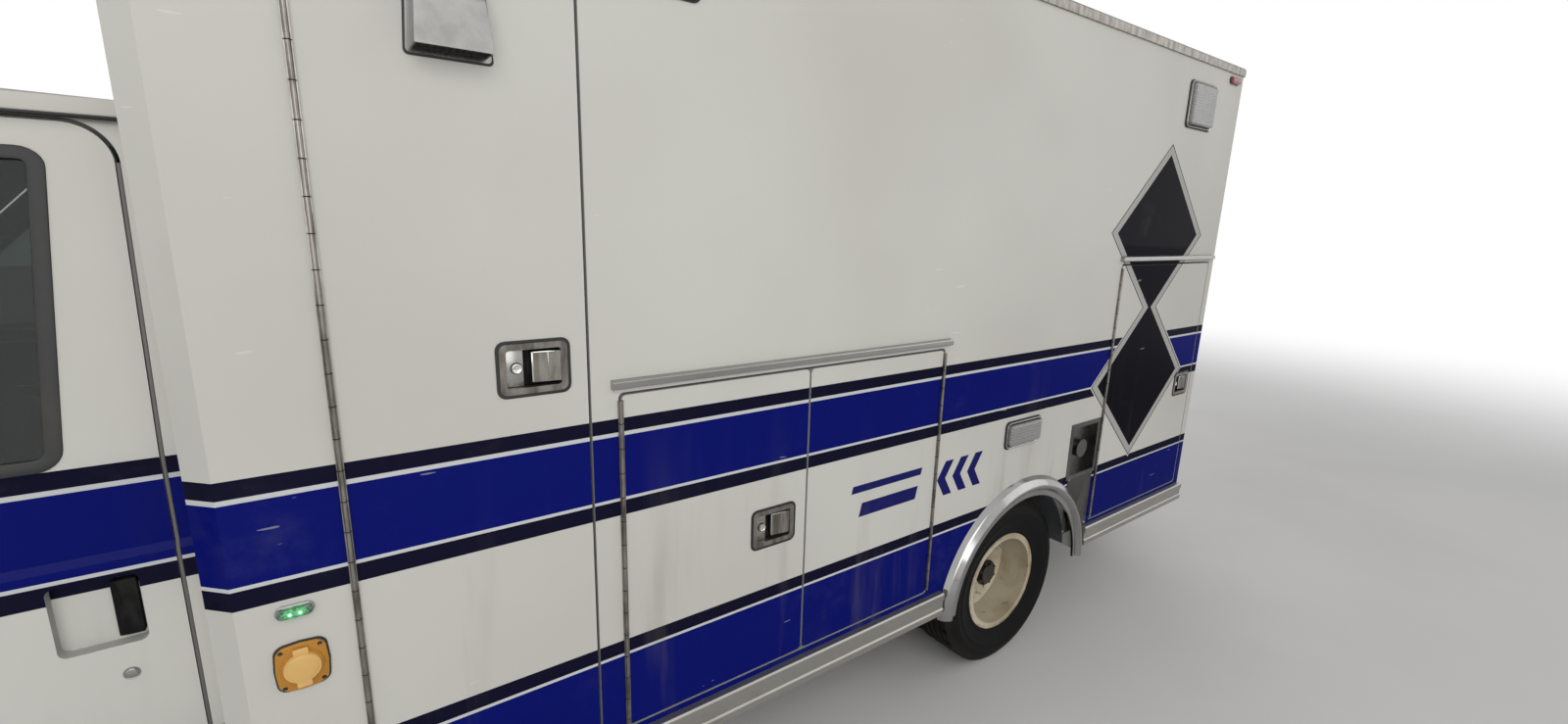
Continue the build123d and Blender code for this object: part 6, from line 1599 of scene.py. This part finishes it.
@dataclass
class CabSide:
    """Seals, key cylinder, mirror glass and roof gutter on each side of the cab."""

    lean: float = 8.76
    belt: tuple[float, float] = (1.002, 1.430)
    seal_low: tuple[float, float] = (1.222, 1.422)
    seal_high: tuple[float, float] = (1.984, 1.996)
    # How far the lower rear corner lies ahead of the upper one
    seal_rake: float = 0.040
    seal_width: float = 0.024
    crease: float = 1.240
    gap: tuple[float, float] = (1.1276, 1.1338)
    gutter: tuple[float, float] = (1.094, 1.560)
    key: tuple[float, float] = (1.229, 0.990)
    mirror_low: Point = (1.8975, 1.106, 1.478)
    mirror_high: Point = (1.9005, 1.284, 1.792)

    def seal(self) -> Form:
        """Rubber seal round the leaning window."""
        belt_y, belt_z = self.belt
        low = self.seal_low[0], belt_y - 0.008, self.seal_low[1]
        form = Form.block("door_window_seal", low, (self.seal_high[0], belt_y + 0.0035, self.seal_high[1]))
        form.shift(lambda at, way: at.x < 1.3 and at.z < 1.5, (self.seal_rake, 0, 0), "VERT")
        form.slice((1.518, 0, self.seal_high[1]), (0.732, 0, 0.681), True)
        form.round(along_y, 0.042, 6)
        hollow(form, self.seal_width, 0.002, 0.08)
        stretch = 1.0 / math.cos(math.radians(self.lean))
        form.swell(None, (1, 1, stretch), (0, belt_y, belt_z), "VERT")
        return form.turn(self.lean, "X", (0, belt_y, belt_z))

    def door_seal(self) -> Form:
        """Grey strip in the gap behind the door, which follows the crease and the lean."""
        low, high = self.gap
        strip = Form.block("door_seal", (low, CAB_SIDE - 0.013, 0.525), (high, CAB_SIDE - 0.001, 1.975))
        steps = ((self.crease - 0.008, 0.0), (self.crease + 0.008, -0.008), (self.belt[1], -0.002))
        for level, _ in steps:
            strip.slice((0, 0, level), (0, 0, 1))
        for level, by in steps:
            strip.shift(lambda at, way: at.z > level - 1e-4, (0, by, 0), "VERT")
        fall = -math.tan(math.radians(self.lean)) * (1.975 - self.belt[1])
        strip.shift(lambda at, way: at.z > 1.9, (0, fall, 0), "VERT")
        return strip.soften(0.0012, 2)

    def rail(self, name: str, low: float, high: float, out: float, edge: float) -> Form:
        """Rail along the cab's roof edge.

        Args:
            name: Name of the piece.
            low: Height of its underside.
            high: Height of its top.
            out: How far out it reaches.
            edge: Radius of its edges.

        Returns:
            The rail.
        """
        start, end = self.gutter
        form = Form.block(name, (start, 0.862, low), (end, out, high))
        form.slice((end - 0.06, 0, 0), (1, 0, 0))
        form.swell(lambda at, way: at.x > end - 1e-4, (1, 1, 0.4), (end, out, low), "VERT")
        return form.soften(edge, 3)

    def key_cylinder(self) -> Form:
        """Round lock face under the handle."""
        form = Form.disc("key", (self.key[0], CAB_SIDE + 0.0008, self.key[1]), "Y", 0.0135, 0.003, 32, 0.0125)
        form.inset(facing(1), 0.0025, -0.0012).inset(central(form), 0.001, 0.0014)
        return form.soften(0.0004)

    def mirror_glass(self) -> Form:
        """Glass on the rear face of the mirror head."""
        form = Form.block("mirror_glass", self.mirror_low, self.mirror_high)
        return form.round(along_x, 0.018, 5).soften(0.0008)

    def build(self) -> None:
        """Makes each piece for the left side and copies it to the right one."""
        paint = Livery("gutter_paint", cab=True)
        for name, form, finish, fixed in (
            ("window_seal", self.seal(), SEAL, False),
            ("key_cylinder", self.key_cylinder(), STAINLESS, False),
            ("mirror_glass", self.mirror_glass(), MIRROR, False),
            ("door_seal", self.door_seal(), DOOR_SEAL, True),
            ("roof_gutter", self.rail("gutter", 2.0565, 2.087, 0.9135, 0.004), paint, True),
            ("gutter_shadow_strip", self.rail("strip", 2.0520, 2.0575, 0.9105, 0.0008), GASKET, True),
        ):
            twin = form.copy(f"cab_right_{name}", Wall.RIGHT.place())
            form.piece.name = f"cab_left_{name}"
            for side, made in (("right", twin), ("left", form)):
                made.finish(finish, "vehicle" if fixed else f"cab_{side}_door")


@dataclass
class RearHubs:
    """Long nose of each rear hub, with the flange of its axle shaft."""

    start: float = 1.0105
    # Radius and length of each step outwards
    steps: tuple[tuple[float, float], ...] = ((0.060, 0.012), (0.052, 0.046), (0.060, 0.010), (0.045, 0.010))
    bolt_ring: float = 0.0525
    bolts: int = 8

    def build(self) -> None:
        """Makes one nose and copies it to both sides."""
        parts, low = [], self.start
        for radius, length in self.steps:
            step = Form.disc("hub_step", (0, low + length / 2, 0), "Y", radius, length, 40, radius - 0.002)
            parts.append(step.inset(facing(1), 0.004, -0.0008).soften(0.001, 2, 50.0))
            low += length
        face = low - self.steps[-1][1]
        for number in range(self.bolts):
            angle = 2 * math.pi * (number + 0.5) / self.bolts
            spot = self.bolt_ring * math.cos(angle), face + 0.003, self.bolt_ring * math.sin(angle)
            parts.append(Form.disc("bolt", spot, "Y", 0.006, 0.007, 6, 0.0055).soften(0.0006, 1, 50.0))
        nose = joined("hub_nose", parts)
        for side in ("left", "right"):
            place = Wall(side).place() @ Matrix.Translation((REAR_AXLE_X, 0, AXLE_Z))
            nose.copy(f"rear_{side}_hub_nose", place).finish(DARK_STEEL, f"rear_{side}_wheels")
        discard(nose)


@dataclass
class WheelNuts:
    """Ring of nuts on the outer face of each wheel."""

    count: int = 8
    # Body, axle X, face Y, ring radius and nut length
    rows: tuple[tuple[str, float, float, float, float], ...] = (
        ("front_{}_wheel", FRONT_AXLE_X, 0.9930, 0.092, 0.020),
        ("rear_{}_wheels", REAR_AXLE_X, 0.9430, 0.100, 0.026),
    )

    def build(self) -> None:
        """Makes one nut for each size and copies it round each wheel."""
        for body, axle_x, face, radius, length in self.rows:
            nut = Form.disc("nut", (0, length / 2, 0), "Y", 0.0140, length, 6)
            nut.inset(facing(1), 0.0035, 0.003).inset(central(nut), 0.003, 0.004).soften(0.0012, 2, 50.0)
            for side in ("left", "right"):
                nuts = []
                for number in range(self.count):
                    angle = 2 * math.pi * number / self.count
                    spot = (axle_x + radius * math.cos(angle), face, AXLE_Z + radius * math.sin(angle))
                    nuts.append(nut.copy("nut", Wall(side).place() @ Matrix.Translation(spot)))
                joined(f"{body.format(side)}_nuts", nuts).finish(DARK_STEEL, body.format(side))
            discard(nut)


@dataclass(frozen=True)
class Seam:
    """A sewn channel pressed into a pad: the axis it crosses, its place, and the side that it lies on."""

    axis: int
    at: float
    side: int
    sign: int
    depth: float = 0.006
    width: float = 0.007


@dataclass
class Pads:
    """Seat cushions, seat backs and bench pads, swollen by cloth simulation."""

    frames: int = 20
    pressure: float = 4.0
    cushion: tuple[Point, Point] = ((1.256, 0.270, 0.949), (1.708, 0.730, 1.046))
    back: tuple[Point, Point] = ((1.172, 0.270, 1.078), (1.358, 0.730, 1.774))
    # Corners of the seat back by X and height, and how far each moves along X
    back_moves: tuple[tuple[float, float, float], ...] = (
        (1.172, 1.078, 0.085), (1.358, 1.470, -0.082), (1.358, 1.774, -0.124),
    )
    bench: tuple[Point, Point] = ((-2.014, -1.156, 1.293), (-0.040, -0.652, 1.356))
    bench_back: tuple[Point, Point] = ((-2.014, -1.170, 1.432), (-0.040, -1.126, 1.668))
    cushion_seams: tuple[Seam, ...] = (
        Seam(0, 1.375, 2, 1), Seam(0, 1.480, 2, 1), Seam(0, 1.585, 2, 1),
        Seam(1, 0.345, 2, 1), Seam(1, 0.655, 2, 1),
        Seam(2, 1.018, 1, 1, 0.003, 0.004), Seam(2, 1.018, 1, -1, 0.003, 0.004),
    )
    back_seams: tuple[Seam, ...] = (
        Seam(2, 1.200, 0, 1), Seam(2, 1.330, 0, 1), Seam(2, 1.460, 0, 1), Seam(2, 1.590, 0, 1),
        Seam(1, 0.345, 0, 1), Seam(1, 0.655, 0, 1),
    )
    bench_seams: tuple[Seam, ...] = (
        Seam(0, -1.356, 2, 1, 0.008, 0.009), Seam(0, -0.698, 2, 1, 0.008, 0.009),
    )
    bench_back_seams: tuple[Seam, ...] = (
        Seam(0, -1.356, 1, 1, 0.006, 0.008), Seam(0, -0.698, 1, 1, 0.006, 0.008),
    )

    def inflate(self, form: Form, start: list[Vector], cap: float, rest: int) -> None:
        """Swells a pad by cloth simulation, up to a cap, with its low side along an axis kept flat.

        Args:
            form: The remeshed pad.
            start: Its points before.
            cap: How far a point may move.
            rest: Axis that it rests along.
        """
        flat = min(point[rest] for point in start)
        cloth = form.piece.modifiers.new("cloth", "CLOTH")
        cloth.settings.use_pressure = True
        cloth.settings.uniform_pressure_force = self.pressure
        cloth.settings.effector_weights.gravity = 0.0
        cloth.point_cache.frame_start = 1
        cloth.point_cache.frame_end = self.frames
        for number in range(1, self.frames + 1):
            bpy.context.scene.frame_set(number)
        form.apply("cloth")
        bpy.context.scene.frame_set(1)
        for vertex, before in zip(form.piece.data.vertices, start):
            move = vertex.co - before
            if move.length > cap:
                vertex.co = before + move * (cap / move.length)
            vertex.co[rest] = max(vertex.co[rest], flat)

    def sew(self, form: Form, seams: Sequence[Seam]) -> None:
        """Presses sewn channels into a pad.

        Args:
            form: The pad.
            seams: Its channels.
        """
        mesh = form.piece.data
        for seam in seams:
            for vertex in mesh.vertices:
                facing_side = max(0.0, vertex.normal[seam.side] * seam.sign)
                away = (vertex.co[seam.axis] - seam.at) / seam.width
                if facing_side > 0.2 and abs(away) < 3.0:
                    vertex.co[seam.side] -= seam.sign * seam.depth * facing_side * math.exp(-away * away)
        mesh.update()

    def pad(self, form: Form, voxel: float, cap: float, rest: int, seams: Sequence[Seam]) -> Form:
        """Remeshes, swells, smooths and sews one pad.

        Args:
            form: The pad's plain shape.
            voxel: Size of the remesh.
            cap: How far a point may move.
            rest: Axis that it rests along.
            seams: Its sewn channels.

        Returns:
            The pad.
        """
        form.modify("REMESH", mode="VOXEL", voxel_size=voxel)
        self.inflate(form, [vertex.co.copy() for vertex in form.piece.data.vertices], cap, rest)
        form.modify("SUBSURF", levels=1, render_levels=1)
        self.sew(form, seams)
        return form

    def seats(self) -> None:
        """Cushion and back of both seats."""
        cushion = Form.block("cushion", *self.cushion).round(along_z, 0.05, 4).soften(0.018, 3)
        back = Form.block("back", *self.back)
        back.slice((0, 0, 1.470), (0, 0, 1))
        for x, z, by in self.back_moves:
            back.shift(lambda at, way: abs(at.x - x) < 1e-4 and abs(at.z - z) < 1e-4, (by, 0, 0), "VERT")
        back.soften(0.024, 3)
        for name, form, rest, seams in (
            ("cushion", cushion, 2, self.cushion_seams), ("back", back, 0, self.back_seams),
        ):
            self.pad(form, 0.008, 0.014, rest, seams)
            twin = form.copy(f"right_seat_{name}", Wall.RIGHT.place())
            form.piece.name = f"left_seat_{name}"
            for made in (form, twin):
                made.finish(SEAT_CLOTH, "vehicle", "pad_vinyl", ["cab_seats"], 60.0)

    def benches(self) -> None:
        """Seat pad and back pad of the bench."""
        for name, corners, rest, seams in (
            ("bench_seat_pad", self.bench, 2, self.bench_seams),
            ("bench_back_pad", self.bench_back, 1, self.bench_back_seams),
        ):
            form = Form.block(name, *corners).soften(0.016, 3)
            self.pad(form, 0.014, 0.012, rest, seams)
            form.finish(VINYL, "vehicle", "pad_vinyl", ["bench_pads"], 60.0)

    def build(self) -> None:
        """Makes every pad."""
        self.seats()
        self.benches()


@dataclass
class Studio:
    """Pale floor, soft light and the camera at the photograph's place."""

    eye: tuple[float, float, float] = (0.875, 2.679, 1.905)
    heading: float = 143.48
    pitch: float = 12.257
    roll: float = 1.638
    lens: float = 15.0
    floor_size: float = 60.0
    world_level: float = 0.40
    lamps: tuple[tuple[Point, float, float], ...] = (
        ((1.5, 5.8, 3.6), 5.0, 164.0),
        ((-5.0, 4.0, 3.6), 4.0, 37.0),
        ((3.0, -6.0, 3.6), 5.0, 128.0),
        ((-6.5, -3.0, 3.4), 4.0, 73.0),
        ((6.8, 0.5, 3.0), 3.5, 50.0),
    )
    aim: tuple[float, float, float] = (0.0, 0.0, 1.1)

    def floor(self) -> None:
        """Floor under the wheels."""
        Form.clear()
        bpy.ops.mesh.primitive_grid_add(x_subdivisions=8, y_subdivisions=8, size=self.floor_size)
        floor = bpy.context.active_object
        floor.name = "studio_floor"
        floor.data.materials.append(StudioFloor().material())

    def lights(self) -> None:
        """Soft lamps all round and an even sky."""
        for number, (place, size, power) in enumerate(self.lamps):
            lamp = bpy.data.lights.new(f"soft_lamp_{number}", "AREA")
            lamp.size = size
            lamp.energy = power
            holder = bpy.data.objects.new(lamp.name, lamp)
            holder.location = place
            holder.rotation_euler = (Vector(self.aim) - Vector(place)).to_track_quat("-Z", "Y").to_euler()
            bpy.context.scene.collection.objects.link(holder)
        world = bpy.data.worlds.new("studio_sky")
        bpy.context.scene.world = world
        world.use_nodes = True
        tree = world.node_tree
        sky = tree.nodes["Background"]
        sky.inputs["Color"].default_value = linear("#f4f4f6")
        sky.inputs["Strength"].default_value = self.world_level
        seen = tree.nodes.new("ShaderNodeBackground")
        seen.inputs["Color"].default_value = (1.0, 1.0, 1.0, 1.0)
        path = tree.nodes.new("ShaderNodeLightPath")
        first, *others = (path.outputs[f"Is {ray} Ray"] for ray in SEEN_RAYS)
        for other in others:
            larger = tree.nodes.new("ShaderNodeMath")
            larger.operation = "MAXIMUM"
            tree.links.new(first, larger.inputs[0])
            tree.links.new(other, larger.inputs[1])
            first = larger.outputs[0]
        mixer = tree.nodes.new("ShaderNodeMixShader")
        for number, source in enumerate((first, sky.outputs[0], seen.outputs[0])):
            tree.links.new(source, mixer.inputs[number])
        tree.links.new(mixer.outputs[0], tree.nodes["World Output"].inputs["Surface"])
        bpy.context.scene.view_settings.view_transform = "Standard"

    def camera(self) -> None:
        """Camera at the photograph's place and angle."""
        data = bpy.data.cameras.new("photo_camera")
        data.lens = self.lens
        data.sensor_width = 36.0
        data.clip_start = 0.05
        holder = bpy.data.objects.new("photo_camera", data)
        turn = (
            Matrix.Rotation(math.radians(self.heading), 4, "Z")
            @ Matrix.Rotation(math.radians(90.0 - self.pitch), 4, "X")
            @ Matrix.Rotation(math.radians(self.roll), 4, "Z")
        )
        holder.matrix_world = Matrix.Translation(self.eye) @ turn
        bpy.context.scene.collection.objects.link(holder)
        bpy.context.scene.camera = holder

    def build(self) -> None:
        """Sets up the studio."""
        self.camera()
        self.floor()
        self.lights()


def main() -> None:
    """Builds the studio and every sub-assembly in order."""
    logging.basicConfig(level=logging.INFO, format="%(message)s")
    Studio().build()
    Body().dress()
    Tyres().build()
    WheelNuts().build()
    RearHubs().build()
    Lamps().build()
    Latches().build()
    TallDoorVent().build()
    Inlet().build()
    SillPlate().build()
    CabSide().build()
    Pads().build()


if __name__ == "__main__":
    main()
